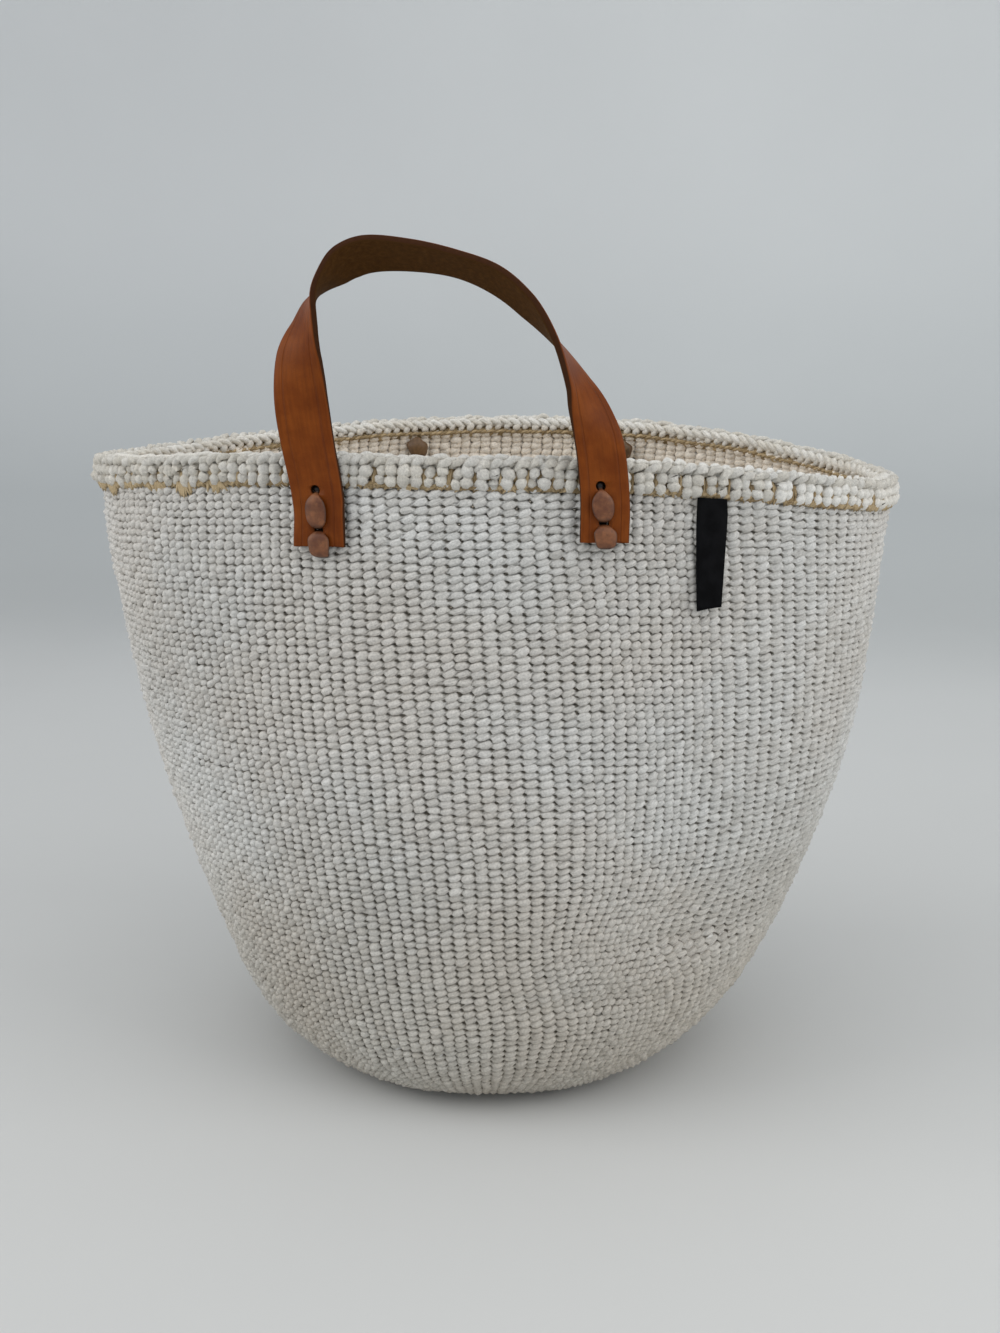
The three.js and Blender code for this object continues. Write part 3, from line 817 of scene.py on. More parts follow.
def paper_material():
    """Pale paper with painted shade: darkest where the floor turns up behind, and a little darker at
    the left.
    """
    material, tree, shader = new_material("backdrop paper")
    place = object_place(tree)
    # Painted shade: darkest at the sweep where the floor turns up, lighter again up the wall
    back = remap(tree, one_axis(tree, place, "Y"), -1.0, 2.0)
    colour = ramp(
        tree, back,
        (0.3, (0.685, 0.685, 0.67)), (0.58, (0.655, 0.66, 0.65)), (0.74, (0.565, 0.58, 0.575)),
        (0.82, (0.545, 0.565, 0.565)), (0.9, (0.65, 0.67, 0.67)), (0.935, (0.74, 0.755, 0.755)),
    )
    # Painted shade: a little darker at the left, and a touch darker at the far right
    aside = remap(tree, one_axis(tree, place, "X"), -1.0, 1.0)
    side = ramp(tree, aside, (0.2, (0.90, 0.90, 0.905)), (0.6, WHITE), (1.0, (0.965,) * 3))
    colour = mix(tree, 1.0, colour, side, "MULTIPLY")
    cloud = use_group(tree, PATCHES, Vector=place, Scale=1.5)["Patch"]
    colour = mix(tree, 1.0, colour, ramp(tree, cloud, (0.0, (0.97,) * 3), (1.0, WHITE)), "MULTIPLY")
    finish_shader(tree, shader, colour, roughness=0.8, specular=0.2)
    return material


# Yarns: pale, dark and warm colour, share of warm patches, and roughness
WEFT = strand_material(
    "weft yarn", (0.83, 0.825, 0.80), (0.65, 0.635, 0.60), (0.71, 0.64, 0.56), 0.45, 0.85,
)
# Rim yarn: its painted gap shade is brown, as where the beads tuck under one another
RIM_YARN = strand_material(
    "rim yarn", (0.89, 0.87, 0.82), (0.78, 0.74, 0.66), (0.79, 0.72, 0.61), 0.4, 0.85,
    deep=(0.17, 0.115, 0.05),
)
SISAL = strand_material(
    "bare sisal", (0.62, 0.47, 0.28), (0.25, 0.165, 0.075), (0.64, 0.51, 0.31), 0.35, 0.8,
)
# Warp cords: tan sisal painted dark on their outward faces, as shade in the gaps of the weave, and
# pale and warm on their inward faces, as painted bounce light inside the basket
SHADED_WARP = strand_material(
    "shaded warp cord", (0.32, 0.26, 0.18), (0.22, 0.17, 0.11), (0.3, 0.24, 0.16), 0.4, 0.9,
    inward=(0.86, 0.76, 0.62),
)
LEATHER = leather_material()
LACE = lace_material("lace leather", (0.135, 0.040, 0.013), (0.27, 0.100, 0.036))
# The knot's leather is the lace's leather painted darker, as painted shade inside the wall
KNOT_IN_SHADE = lace_material("knot leather in shade", (0.10, 0.050, 0.018), (0.19, 0.105, 0.045))
RIBBON = ribbon_material()


# Woven wall

def weft_strand(row, side, jitter):
    """One weft strand of a row: it swings out over one warp and in behind the next."""
    s = (row + 0.5) * ROW_PITCH
    count = level_count(s)
    column = np.arange(count * COLUMN_SAMPLES) / COLUMN_SAMPLES
    height = np.interp(s, PROFILE_S, PROFILE_Z)
    theta = column_angle((column - COLUMN_LEAN * row * count / COLUMN_COUNT) / count, height)
    stitch = (np.floor(column + 0.5).astype(int)) % count
    plump, lift, push, tone, tilt, stray = jitter[:, stitch]
    phase = np.pi * (column + side)
    swing, slant = np.cos(phase), np.sin(phase)
    face = np.abs(swing)

    over = np.clip((height - RIM_BOTTOM) / (WEAVE_TOP - RIM_BOTTOM), 0, 1)
    under = np.clip((FOOT_S - s) / BASE_EDGE + 1, 0, 1)
    depth = -WALL_THICKNESS / 2 + STRAND_SWING * np.sign(swing) * face ** OUTER_BLUNT
    depth = depth + STITCH_PUSH * push * face - RIM_INSET * over - BASE_INSET * under
    rows = s + STRAND_SLANT * slant + STITCH_LIFT * lift * face
    rows = rows + STITCH_TILT * tilt * slant * np.sign(swing)
    rows = rows + ROW_WANDER * waves(ROW_WAVES, theta, s) * np.clip(s / FOOT_S - 0.3, 0, 1)
    theta = theta + sideways(theta, s)
    theta = theta + STITCH_STRAY * stray * face / np.interp(s, PROFILE_S, PROFILE_R)

    blunt = np.where(swing < 0, INNER_BLUNT, OUTER_BLUNT)
    radii = STRAND_RADIUS * (STRAND_PINCH + (1 - STRAND_PINCH) * face ** blunt)
    radii = radii * (1 + PLUMP_SHARE * plump * face + INNER_PLUMP * np.clip(-swing, 0, 1))
    shade = np.clip(0.5 + TONE_SPREAD * tone + SHADE_SPREAD * waves(SHADE_WAVES, theta, s), 0, 1)
    # Painted shade on the side of the stitch that tucks under the next row
    edge = EDGE_SHADE * slant * (1 - face)
    return strand(wall_line(theta, rows, depth), radii, shade, (1 - swing) / 2, edge)


def build_weave():
    last = int(WEAVE_END / ROW_PITCH)
    bands = []
    for first in range(FIRST_ROW, last, BAND_ROWS):
        strands = []
        for row in range(first, min(first + BAND_ROWS, last)):
            for side in (0, 1):
                drawn = rng.normal(0, DRAW_SPREAD, (6, COLUMN_COUNT))
                jitter = np.clip(drawn, -DRAW_LIMIT, DRAW_LIMIT)
                strands.append(weft_strand(row, side, jitter))
        made = tubes(f"weave_rows_{len(bands) + 1:02d}", strands, True)
        bands.append(finish_piece(made, WEFT, "basket"))
    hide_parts("woven_body")


def warp_start(level):
    """Distance along the profile at which the columns whose number divides by the level begin."""
    along = np.linspace(0, WEAVE_END, 800)
    return next(s for s in along if level_count(s) >= COLUMN_COUNT // level)


def build_warps():
    """Sisal cords inside the weave. A column that ends on the base takes its cord no further."""
    starts = {level: warp_start(level) for level in (1, 2, 4, 8, 16)}
    strands = []
    for column in range(COLUMN_COUNT):
        start = starts[math.gcd(column, 16)]
        s = np.arange(max(start, WARP_START), WEAVE_END - WARP_SHORT, ROW_PITCH)
        z = np.interp(s, PROFILE_S, PROFILE_Z)
        row = s / ROW_PITCH - 0.5
        theta = column_angle((column - COLUMN_LEAN * row) / COLUMN_COUNT, z)
        theta = theta + sideways(theta, s)
        kept = (np.arange(len(s)) % WARP_STEP == 0) | (bells(DENTS, theta, z) > WARP_DENT)
        line = wall_line(theta[kept], s[kept], WARP_DEPTH)
        strands.append(strand(line, WARP_RADIUS, rng.uniform(0, 1)))
    finish_piece(tubes("warps", strands, False, 0), SHADED_WARP, "basket")


def build_base_centre():
    """Small coil that closes the middle of the base."""
    turns = np.linspace(0, COIL_TURNS, COIL_SAMPLES)
    radius = COIL_START + COIL_PITCH * turns
    x, y = radius * np.cos(turns * 2 * np.pi), radius * np.sin(turns * 2 * np.pi)
    points = np.stack([x, y, np.full(COIL_SAMPLES, WALL_THICKNESS / 2)], axis=-1)
    down = np.tile([0.0, 0.0, -1.0], (COIL_SAMPLES, 1))
    coil = strand((points, down), COIL_RADIUS, 0.5, INSIDE_BOUNCE)
    finish_piece(tubes("base_centre", [coil], False), WEFT, "basket")


# Rim

def rim_angles(pitch):
    """Evenly spaced angles round the rim, and the length of one step."""
    theta = np.linspace(0, 2 * np.pi, 4001)
    length = travelled(wall(theta, at_height(BODY_HEIGHT), 0))
    count = int(round(length[-1] / pitch))
    return np.interp(np.arange(count) / count * length[-1], length, theta), length[-1] / count


def rim_line(theta, z, depth):
    """Line at the rim: height at its middle line, and depth out from the wall's outer face."""
    return wall_line(theta, at_height(BODY_HEIGHT), depth, z - BODY_HEIGHT)


def turn_of(theta, length):
    """Angle that a length along the rim spans at an angle."""
    a, b = wall(np.array([theta - 0.01, theta + 0.01]), at_height(BODY_HEIGHT), 0)
    return length * 0.02 / float(np.linalg.norm(b - a))


def smooth_path(knots, count):
    """Evenly sampled smooth curve through a table of knots."""
    table = np.array(knots, dtype=float)
    span = np.linspace(0, len(table) - 1, count)
    index = np.clip(span.astype(int), 0, len(table) - 2)
    t = (span - index)[:, None]
    before = table[np.maximum(index - 1, 0)]
    after = table[np.minimum(index + 2, len(table) - 1)]
    p, q = table[index], table[index + 1]
    bend = 2 * before - 5 * p + 4 * q - after + t * (3 * (p - q) + after - before)
    return p + 0.5 * t * (q - before + t * bend)


# Strands of the rim, each a table of: depth, height, radius, and lean in steps along the rim.
# A bundle climbs the face as two beads.
BUNDLE_KNOTS = [
    (-1.2, -13.0, 0.9, 0.0), (0.4, -12.3, 2.1, 0.0), (1.0, -10.8, 3.05, 0.02),
    (0.4, -9.4, 2.1, 0.03), (-0.1, -8.7, 1.1, 0.04), (0.5, -8.0, 2.2, 0.05),
    (1.0, -6.6, 3.05, 0.06), (0.2, -5.2, 2.0, 0.08), (-1.0, -4.7, 1.2, 0.15),
    (-2.5, -4.3, 0.9, 0.25),
]
# A link of the chain over the bundles
CHAIN_KNOTS = [
    (-0.8, -4.6, 0.7, -0.68), (0.9, -3.8, 1.4, -0.47), (1.8, -2.6, 1.8, -0.16),
    (1.5, -1.9, 1.8, 0.14), (0.5, -2.2, 1.4, 0.42), (-0.9, -3.3, 0.7, 0.64),
]
# A link of the chain along the top
RIDGE_KNOTS = [
    (-0.4, -1.8, 0.7, -0.66), (-1.3, -1.0, 1.2, -0.42), (-2.4, -0.6, 1.5, -0.1),
    (-3.5, -0.9, 1.5, 0.25), (-4.6, -1.9, 1.2, 0.6), (-5.2, -3.0, 0.8, 0.85),
]
# A knob inside, under the inner rope
KNOB_KNOTS = [
    (-4.2, -4.0, 0.8, -0.3), (-5.5, -4.2, 1.4, -0.18), (-6.1, -5.2, 1.9, 0.0),
    (-6.0, -6.2, 1.6, 0.14), (-4.6, -6.9, 0.8, 0.2),
]
# How much a knot strays in each of those, and the least radius left
KNOT_STRAY = (0.22, 0.25, 0.08, 0.03)
THINNEST = 0.4
# How much a whole strand strays: along the rim in steps, up and out in millimetres, and in size
STRAY_ALONG = 0.035
STRAY_UP = 0.3
STRAY_OUT = 0.2
SIZES = (0.86, 1.14)


def rim_strands(knots, pitch, offsets, samples, wobble, inner_bounce=0.0):
    """One short strand at each offset of every step round the rim, with painted shade at its thin
    ends.
    """
    angles, step = rim_angles(pitch)
    strands = []
    for theta in angles:
        turn = turn_of(theta, step)
        for offset in offsets:
            path = np.array(knots) + rng.normal(0, 1, (len(knots), 4)) * KNOT_STRAY * wobble
            depth, z, radius, lean = smooth_path(path, samples).T
            where = theta + (offset + rng.normal(0, STRAY_ALONG) * wobble + lean) * turn
            radii = np.maximum(radius, THINNEST) * MM * rng.uniform(*SIZES)
            height = BODY_HEIGHT + (z + rng.normal(0, STRAY_UP) * wobble) * MM
            line = rim_line(where, height, (depth + rng.normal(0, STRAY_OUT) * wobble) * MM)
            # Painted shade at the thin ends, where the strand tucks under its neighbours
            ends = np.clip(0.85 - radius / max(radius) * 1.4, 0, 1) * rng.uniform(0.2, 1.0)
            strands.append(strand(line, radii, rng.uniform(0, 1), inner_bounce, ends=ends))
    return strands


def build_bundles():
    bundles = rim_strands(BUNDLE_KNOTS, UNIT_PITCH, offsets=(-0.23, 0.24), samples=18, wobble=1.3)
    finish_piece(tubes("rim_bundles", bundles, False), RIM_YARN, "basket", ["rim_braid"])
    chain = rim_strands(CHAIN_KNOTS, CHAIN_PITCH, offsets=(0.0,), samples=11, wobble=1.3)
    chain += rim_strands(
        RIDGE_KNOTS, CHAIN_PITCH, offsets=(0.5,), samples=9, wobble=1.2, inner_bounce=0.25,
    )
    finish_piece(tubes("rim_chain", chain, False), RIM_YARN, "basket")
    # The knobs sit inside and take painted warm bounce light
    knobs = rim_strands(KNOB_KNOTS, CHAIN_PITCH, offsets=(0.2,), samples=8, wobble=0.8, inner_bounce=0.62)
    finish_piece(tubes("rim_knobs", knobs, False), RIM_YARN, "basket")


# Ropes round the rim, in millimetres: distance below the top, depth, strand radius, swing,
# length of a turn, hand of the twist, and the step between samples
INNER_ROPES = [(3.0, -5.0, 1.75, 1.3, 11.5, -1, 1.2), (3.4, -2.0, 1.75, 1.0, 11.5, 1, 1.5)]
RIM_CORE = [(8.2, -2.6, 3.2, 0.7, 16, 1, 2.6)]
SISAL_CORDS = [(12.7, 0.6, 1.1, 0.75, 7, 1, 1.3), (7.9, -6.7, 0.85, 0.55, 6, 1, 1.3)]
# Unevenness of a rope's turns: in height, in depth and in thickness, then how thick it is
# between turns and how much it gains on them, and its slow wander up and down in millimetres
ROPE_UNEVEN = np.array([[0.25], [0.2], [0.1]])
ROPE_PINCH = 0.8
ROPE_GAIN = 0.24
ROPE_WANDER = 0.35


def rope(below, depth, radius, swing, turn, hand, sample):
    """Two strands twisted about each other all round the rim."""
    theta, _ = rim_angles(sample * MM)
    count = len(theta)
    turns = int(round(count * sample / turn))
    wander = ROPE_WANDER * waves(ROW_WAVES, theta, 0.1)
    strands = []
    for side in (0, 1):
        phase = 2 * np.pi * (turns * np.arange(count) / count + side / 2) * hand
        stitch = np.floor(phase / np.pi * hand + 0.5).astype(int) % (2 * turns)
        face = np.abs(np.cos(phase))
        high, wide, thick = ROPE_UNEVEN * rng.uniform(-1, 1, (3, 2 * turns))[:, stitch] * face
        up = swing * (1 + high) * np.sin(phase) + wander - below
        out = swing * (1 + wide) * np.cos(phase) + depth
        radii = radius * (ROPE_PINCH + ROPE_GAIN * face + thick) * MM
        tone = 0.5 + 0.4 * np.sin(phase * 0.21 + side * 2)
        strands.append(strand(rim_line(theta, BODY_HEIGHT + up * MM, out * MM), radii, tone))
    return strands


def ropes(table):
    return [side for row in table for side in rope(*row)]


def build_ropes():
    """White ropes inside the rim, its sisal core, and the sisal cord under it on each side."""
    finish_piece(tubes("rim_ropes", ropes(INNER_ROPES), True), RIM_YARN, "basket")
    finish_piece(tubes("rim_core", ropes(RIM_CORE), True), SISAL, "basket")
    cords = tubes("rim_sisal_cords", ropes(SISAL_CORDS), True, 0)
    finish_piece(cords, SISAL, "basket", ["rim_cord_outer", "rim_cord_inner"])


# Bare sisal, in millimetres: depths and radii along a strand between two bundles, radii of an
# end and of a tuft's end, and the height below the top at which those two start
BETWEEN_DEPTHS = np.array([0.2, 1.0, 1.3, 1.5, 1.4, 1.0, 0.2, -1.5])
BETWEEN_RADII = np.array([0.4, 0.7, 0.7, 0.6, 0.6, 0.6, 0.5, 0.4])
END_RADII = np.array([0.6, 0.7, 0.15])
TUFT_RADII = np.array([0.5, 0.6, 0.65, 0.6, 0.45, 0.15])
END_TOP = -12.6
TUFT_TOP = -12.2
ENDS_PER_STEP = 12


def sisal_end(theta, z, depth, radii):
    """Loose bit of sisal by the wall: angles, then heights, depths and radii in millimetres."""
    return strand(rim_line(theta, BODY_HEIGHT + z * MM, depth * MM), radii * MM, rng.uniform(0, 1))


def build_sisal():
    """Strands of bare sisal between the bundles, and loose ends and tufts below the rim."""
    angles, step = rim_angles(UNIT_PITCH)
    long, short, tuft = (
        np.linspace(0, 1, len(radii)) for radii in (BETWEEN_RADII, END_RADII, TUFT_RADII)
    )
    loose = []
    for theta in angles:
        turn = turn_of(theta, step)
        for offset in (-0.52, -0.46):
            start = theta + (offset + rng.uniform(-0.03, 0.03)) * turn
            low, high = rng.uniform(-15.0, -13.8), rng.uniform(-5.5, -3.6)
            loose.append(sisal_end(start + turn * 0.12 * long, low + (high - low) * long,
                                   BETWEEN_DEPTHS, BETWEEN_RADII * rng.uniform(0.7, 1.2)))
        for _ in range(ENDS_PER_STEP):
            start = theta + rng.uniform(-0.5, 0.5) * turn
            loose.append(sisal_end(start + rng.uniform(-0.3, 0.3) * turn * short,
                                   END_TOP - rng.uniform(0.6, 2.9) * short,
                                   1.7 - 1.0 * short, END_RADII * rng.uniform(0.6, 1.3)))
    for angle, wide, drop in SISAL_TUFTS:
        middle = math.radians(angle)
        for _ in range(int(4 + 6 * wide * drop / 10)):
            across = rng.uniform(-1, 1)
            start = middle + across * turn_of(middle, wide / 2 * MM)
            length = drop * (1 - 0.3 * abs(across)) * rng.uniform(0.25, 0.95)
            loose.append(sisal_end(start + turn_of(start, rng.uniform(-2.4, 2.4) * MM) * tuft,
                                   TUFT_TOP - length * tuft, 2.0 - 1.1 * tuft,
                                   TUFT_RADII * rng.uniform(0.7, 1.3)))
    finish_piece(tubes("rim_sisal_ends", loose, False, 0), SISAL, "basket")


# Leather straps

def ends_of(rear):
    return REAR_ENDS if rear else FRONT_ENDS


def end_of(sign, rear):
    return ends_of(rear)[0 if sign < 0 else 1]


def route_table(rear):
    """The strap's whole route in its own plane: across, up and turn, with the hinge at height 0."""
    left, right = (
        [(sign * TAB_SPACING / 2, -HINGE_DROP - end["length"] * share, 0.5 - end["turn"] / math.pi)
         for share in shares]
        for sign, end, shares in zip((-1, 1), ends_of(rear), ((1, 0.5), (0.5, 1)))
    )
    arch = [(x * TAB_SPACING / 2, z * ARCH_RISE, turn) for x, z, turn in ARCH_ROUTE]
    return np.array(left + arch + right)


def centripetal(points, share):
    """Centripetal Catmull-Rom curve, each stretch between two points taking an equal share."""
    count = len(points)
    at = share * (count - 1)
    index = np.minimum(at.astype(int), count - 2)
    t = (at - index)[:, None]
    padded = np.vstack([2 * points[0] - points[1], points, 2 * points[-1] - points[-2]])
    p0, p1, p2, p3 = (padded[index + k] for k in range(4))
    d0, d1, d2 = (np.linalg.norm(b - a, axis=1, keepdims=True) ** 0.5
                  for a, b in ((p0, p1), (p1, p2), (p2, p3)))
    d1 = np.where(d1 < 1e-4, 1, d1)
    d0 = np.where(d0 < 1e-4, d1, d0)
    d2 = np.where(d2 < 1e-4, d1, d2)
    t1 = ((p1 - p0) / d0 - (p2 - p0) / (d0 + d1) + (p2 - p1) / d1) * d1
    t2 = ((p2 - p1) / d1 - (p3 - p1) / (d1 + d2) + (p3 - p2) / d2) * d1
    c2 = -3 * p1 + 3 * p2 - 2 * t1 - t2
    c3 = 2 * p1 - 2 * p2 + t1 + t2
    return p1 + t1 * t + c2 * t ** 2 + c3 * t ** 3


def unit(rows):
    return rows / np.linalg.norm(rows, axis=1, keepdims=True)


def strap_frames(count, rear):
    """Even frames along the flat strap: centre, width and face directions, and length so far."""
    table = route_table(rear)
    share = np.linspace(0, 1, ROUTE_SAMPLES)
    plane = np.c_[table[:, 0], np.zeros(len(table)), table[:, 1]]
    line = centripetal(plane / MM, share) * MM
    turn = centripetal(np.c_[table[:, 2], np.zeros((len(table), 2))], share)[:, 0]
    length = travelled(line)
    even = np.linspace(0, length[-1], count)
    centre = np.stack([np.interp(even, length, line[:, k]) for k in range(3)], axis=-1)
    psi = np.interp(even, length, turn)
    along = unit(np.gradient(centre, axis=0))
    z = centre[:, 2]
    level = 1 - smoothstep((z - HINGE_DROP) / (LEVEL_CUT - HINGE_DROP))
    upright = np.stack([0 * z, 0 * z, np.sign(along[:, 2])], axis=-1)
    along = unit(along + (upright - along) * level[:, None])
    if rear:
        above = z + FOLD_DROP
        flat = smoothstep((above + HINGE_DROP + FLAT_BEFORE) / EASE_BEFORE)
        flat = flat * (1 - smoothstep((above - HINGE_DROP - FLAT_AFTER) / EASE_AFTER))
        psi = psi + (0.5 - psi) * flat
    turned = np.cos(psi * np.pi)
    face = np.stack([-along[:, 2] * turned, -np.sin(psi * np.pi), along[:, 0] * turned], axis=-1)
    left, right = ends_of(rear)
    change = smoothstep((even / even[-1] - WIDTH_START) / WIDTH_SHARE)
    width = left["width"] + (right["width"] - left["width"]) * change
    across = np.cross(face, along) * (width / left["width"])[:, None]
    return centre, across, face, even


def section_table(width):
    """Rounded strap section: places across and in the thickness, and side, which is 1 on grain."""
    half_w, half_t = width / 2, STRAP_THICKNESS / 2
    rows = []
    for sign_x, sign_y, start in ((1, 1, 90), (1, -1, 0), (-1, -1, -90), (-1, 1, -180)):
        for step in range(4):
            angle = math.radians(start - 30 * step)
            x = sign_x * (half_w - EDGE_BEND) + EDGE_BEND * math.cos(angle)
            y = sign_y * (half_t - EDGE_BEND) + EDGE_BEND * math.sin(angle)
            rows.append((x, y, math.sin(angle)))
        if sign_x != sign_y:
            rows += [(sign_x * half_w * share, sign_y * half_t, sign_y) for share in FACE_SHARES]
    return rows


def fold_point(p):
    """Where a point of the raised strap lies once it is folded out over the bending line."""
    out, up = -p.y, p.z + FOLD_DROP
    if up <= -HINGE_DROP:
        return p
    if up < HINGE_DROP:
        turn = FOLD_ANGLE * (up + HINGE_DROP) / BEND_LENGTH
        reach = BEND_RADIUS - out
        low = HINGE_DROP + FOLD_DROP
        return Vector((p.x, reach * math.cos(turn) - BEND_RADIUS, reach * math.sin(turn) - low))
    beyond = out - HINGE_OUT
    return Vector((
        p.x,
        -(HINGE_OUT + beyond * math.cos(FOLD_ANGLE) + up * math.sin(FOLD_ANGLE)),
        up * math.cos(FOLD_ANGLE) - beyond * math.sin(FOLD_ANGLE) - FOLD_DROP,
    ))


def to_world(p, rear):
    if rear:
        return Vector((LEAN_SHIFT - p.x, STRAP_OUT - p.y, HINGE_HEIGHT + p.z))
    return Vector((LEAN_SHIFT + p.x, p.y - STRAP_OUT, HINGE_HEIGHT + p.z))


def tab_wave(x, to_foot):
    """The tab's lower edge is a little uneven."""
    near = max(0.0, 1 - to_foot / TAB_WAVE_REACH)
    return near * TAB_WAVE * (math.cos(x / (3.7 * MM)) - 0.8 * math.sin(x / (4.7 * MM)))


def strap_piece(name, frames, low, high, rear):
    """Strap between two lengths of its route, as one closed skin."""
    centre, across, face, even = frames
    table = section_table(ends_of(rear)[0]["width"])
    rows = [k for k in range(len(even)) if low - 1e-9 <= even[k] <= high + 1e-9]

    def at(a, t):
        corner = int(round(a * len(table))) % len(table)
        return (*table[corner], rows[int(round(t * (len(rows) - 1)))])

    def place(a, t):
        x, y, _, k = at(a, t)
        p = Vector(centre[k]) + Vector(across[k]) * x + Vector(face[k]) * y
        p.z += tab_wave(x, min(even[k], even[-1] - even[k]))
        return to_world(fold_point(p) if rear else p, rear)

    def layers(a, t):
        x, _, side, k = at(a, t)
        return {"across": x, "along": float(even[k]), "side": side}

    return skin(name, len(table), len(rows) - 1, place, layers)


def carry_marks(old, new):
    """Gives every vertex of the cut strap the marks of the nearest vertex of the whole one."""
    tree = kdtree.KDTree(len(old.vertices))
    for vert in old.vertices:
        tree.insert(vert.co, vert.index)
    tree.balance()
    nearest = [tree.find(vert.co)[1] for vert in new.vertices]
    for key in ("across", "along", "side"):
        values = np.empty(len(old.vertices), dtype=np.float32)
        old.attributes[key].data.foreach_get("value", values)
        new.attributes[key].data.foreach_set("value", values[nearest])


def cut_holes(strap, rear):
    """Cuts the lace's holes through the tabs."""
    for sign in (-1, 1):
        for drop in end_of(sign, rear)["drops"][:2]:
            bm = bmesh.new()
            bmesh.ops.create_cone(bm, cap_ends=True, segments=20, radius1=0.5, radius2=0.5, depth=1)
            for vert in bm.verts:
                x, y, z = vert.co.x * HOLE_WIDTH, vert.co.z * HOLE_DEPTH, vert.co.y * HOLE_WIDTH
                vert.co = lace_place(Vector((x, y, z - drop)), sign, rear)
            mesh = new_mesh("hole cutter", bm)
            outward(mesh)
            cutter = add_object("hole cutter", mesh)
            modifier = strap.modifiers.new("hole", "BOOLEAN")
            modifier.operation = "DIFFERENCE"
            modifier.solver = "EXACT"
            modifier.object = cutter
            depsgraph = bpy.context.evaluated_depsgraph_get()
            made = bpy.data.meshes.new_from_object(strap.evaluated_get(depsgraph))
            strap.modifiers.clear()
            # A hole of the other tab leaves this piece as it is
            if len(made.vertices) > len(strap.data.vertices):
                carry_marks(strap.data, made)
                strap.data = made
            bpy.data.objects.remove(cutter)


def build_front_strap():
    frames = strap_frames(FRONT_SAMPLES, False)
    made = strap_piece("front_strap", frames, 0, frames[3][-1], False)
    cut_holes(made, False)
    finish_piece(made, LEATHER, None, [
        "front_handle_tab_left", "front_handle_tab_right", "front_handle_bend_left",
        "front_handle_bend_right", "front_handle_arch",
    ])
    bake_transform(made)


def build_rear_strap():
    """Folded handle: two roots that bend over the rim, and the arch that hangs outside."""
    frames = strap_frames(REAR_SAMPLES, True)
    centre, _, _, even = frames
    off_line = np.abs(centre[:, 2] - (HINGE_DROP - FOLD_DROP))
    half = len(even) // 2
    left = float(even[np.argmin(off_line[:half])])
    right = float(even[half + np.argmin(off_line[half:])])
    arch = strap_piece("rear_strap_arch", frames, left, right, True)
    finish_piece(arch, LEATHER, "rear_handle", ["rear_handle_arch"])
    for end, low, high in (("left", 0, left), ("right", right, even[-1])):
        root = strap_piece(f"rear_strap_root_{end}", frames, low, high, True)
        cut_holes(root, True)
        nodes = [f"rear_handle_tab_{end}", f"rear_handle_bend_{end}"]
        finish_piece(root, LEATHER, None, nodes)
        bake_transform(root)


# Laces

def lace_place(p, sign, rear):
    """Point on a tab: x across it, y in towards the basket, z up from the bend's lower end."""
    end = end_of(sign, rear)
    x = p.x - end["lean"] * (p.z + end["upright"])
    cos, sin = math.cos(end["turn"]), sign * math.sin(end["turn"])
    turned = Vector((x * cos - p.y * sin, x * sin + p.y * cos, p.z))
    return to_world(turned + Vector((sign * TAB_SPACING / 2, 0, -HINGE_DROP)), rear)


def squarish(value, power):
    return math.copysign(abs(value) ** power, value)


def thong(name, knots, sign, rear, hole_shade=True):
    """Flat thong through knots of (in, height, half width, half thickness), in millimetres."""
    path = smooth_path(knots, THONG_STEPS + 1)
    steps = unit(np.gradient(path[:, :2], axis=0))

    def place(a, t):
        k = int(round(t * THONG_STEPS))
        inward, height, half_w, half_t = path[k]
        turn = 2 * math.pi * a
        x = half_w * squarish(math.cos(turn), 0.8)
        rise = half_t * squarish(math.sin(turn), 0.9)
        y, z = inward - steps[k][1] * rise, height + steps[k][0] * rise
        return lace_place(Vector((x, y, z)) * MM, sign, rear)

    # Painted shade marks: the borders, and the ends that run into the holes
    def layers(a, t):
        return {"along": t if hole_shade else 0.5, "border_shade": abs(math.cos(2 * math.pi * a))}

    return skin(name, THONG_SIDES, THONG_STEPS, place, layers)


def knot_skin(name, deep, middle, sign, rear):
    """Lumpy flattened knot inside the wall: its depth and height in millimetres."""
    def place(a, t):
        polar, turn = math.pi * (0.02 + 0.96 * t), 2 * math.pi * a
        lumps = 1 + 0.09 * math.sin(3 * turn + 2 * polar) + 0.06 * math.cos(5 * polar)
        size = KNOT_RADIUS / MM * lumps
        x = size * math.sin(polar) * math.cos(turn)
        y = size * KNOT_FLAT * math.sin(polar) * math.sin(turn)
        z = middle + size * KNOT_TALL * math.cos(polar)
        return lace_place(Vector((x, deep + y, z)) * MM, sign, rear)

    return skin(name, 14, 10, place, lambda a, t: {"along": 0.5, "border_shade": 0})


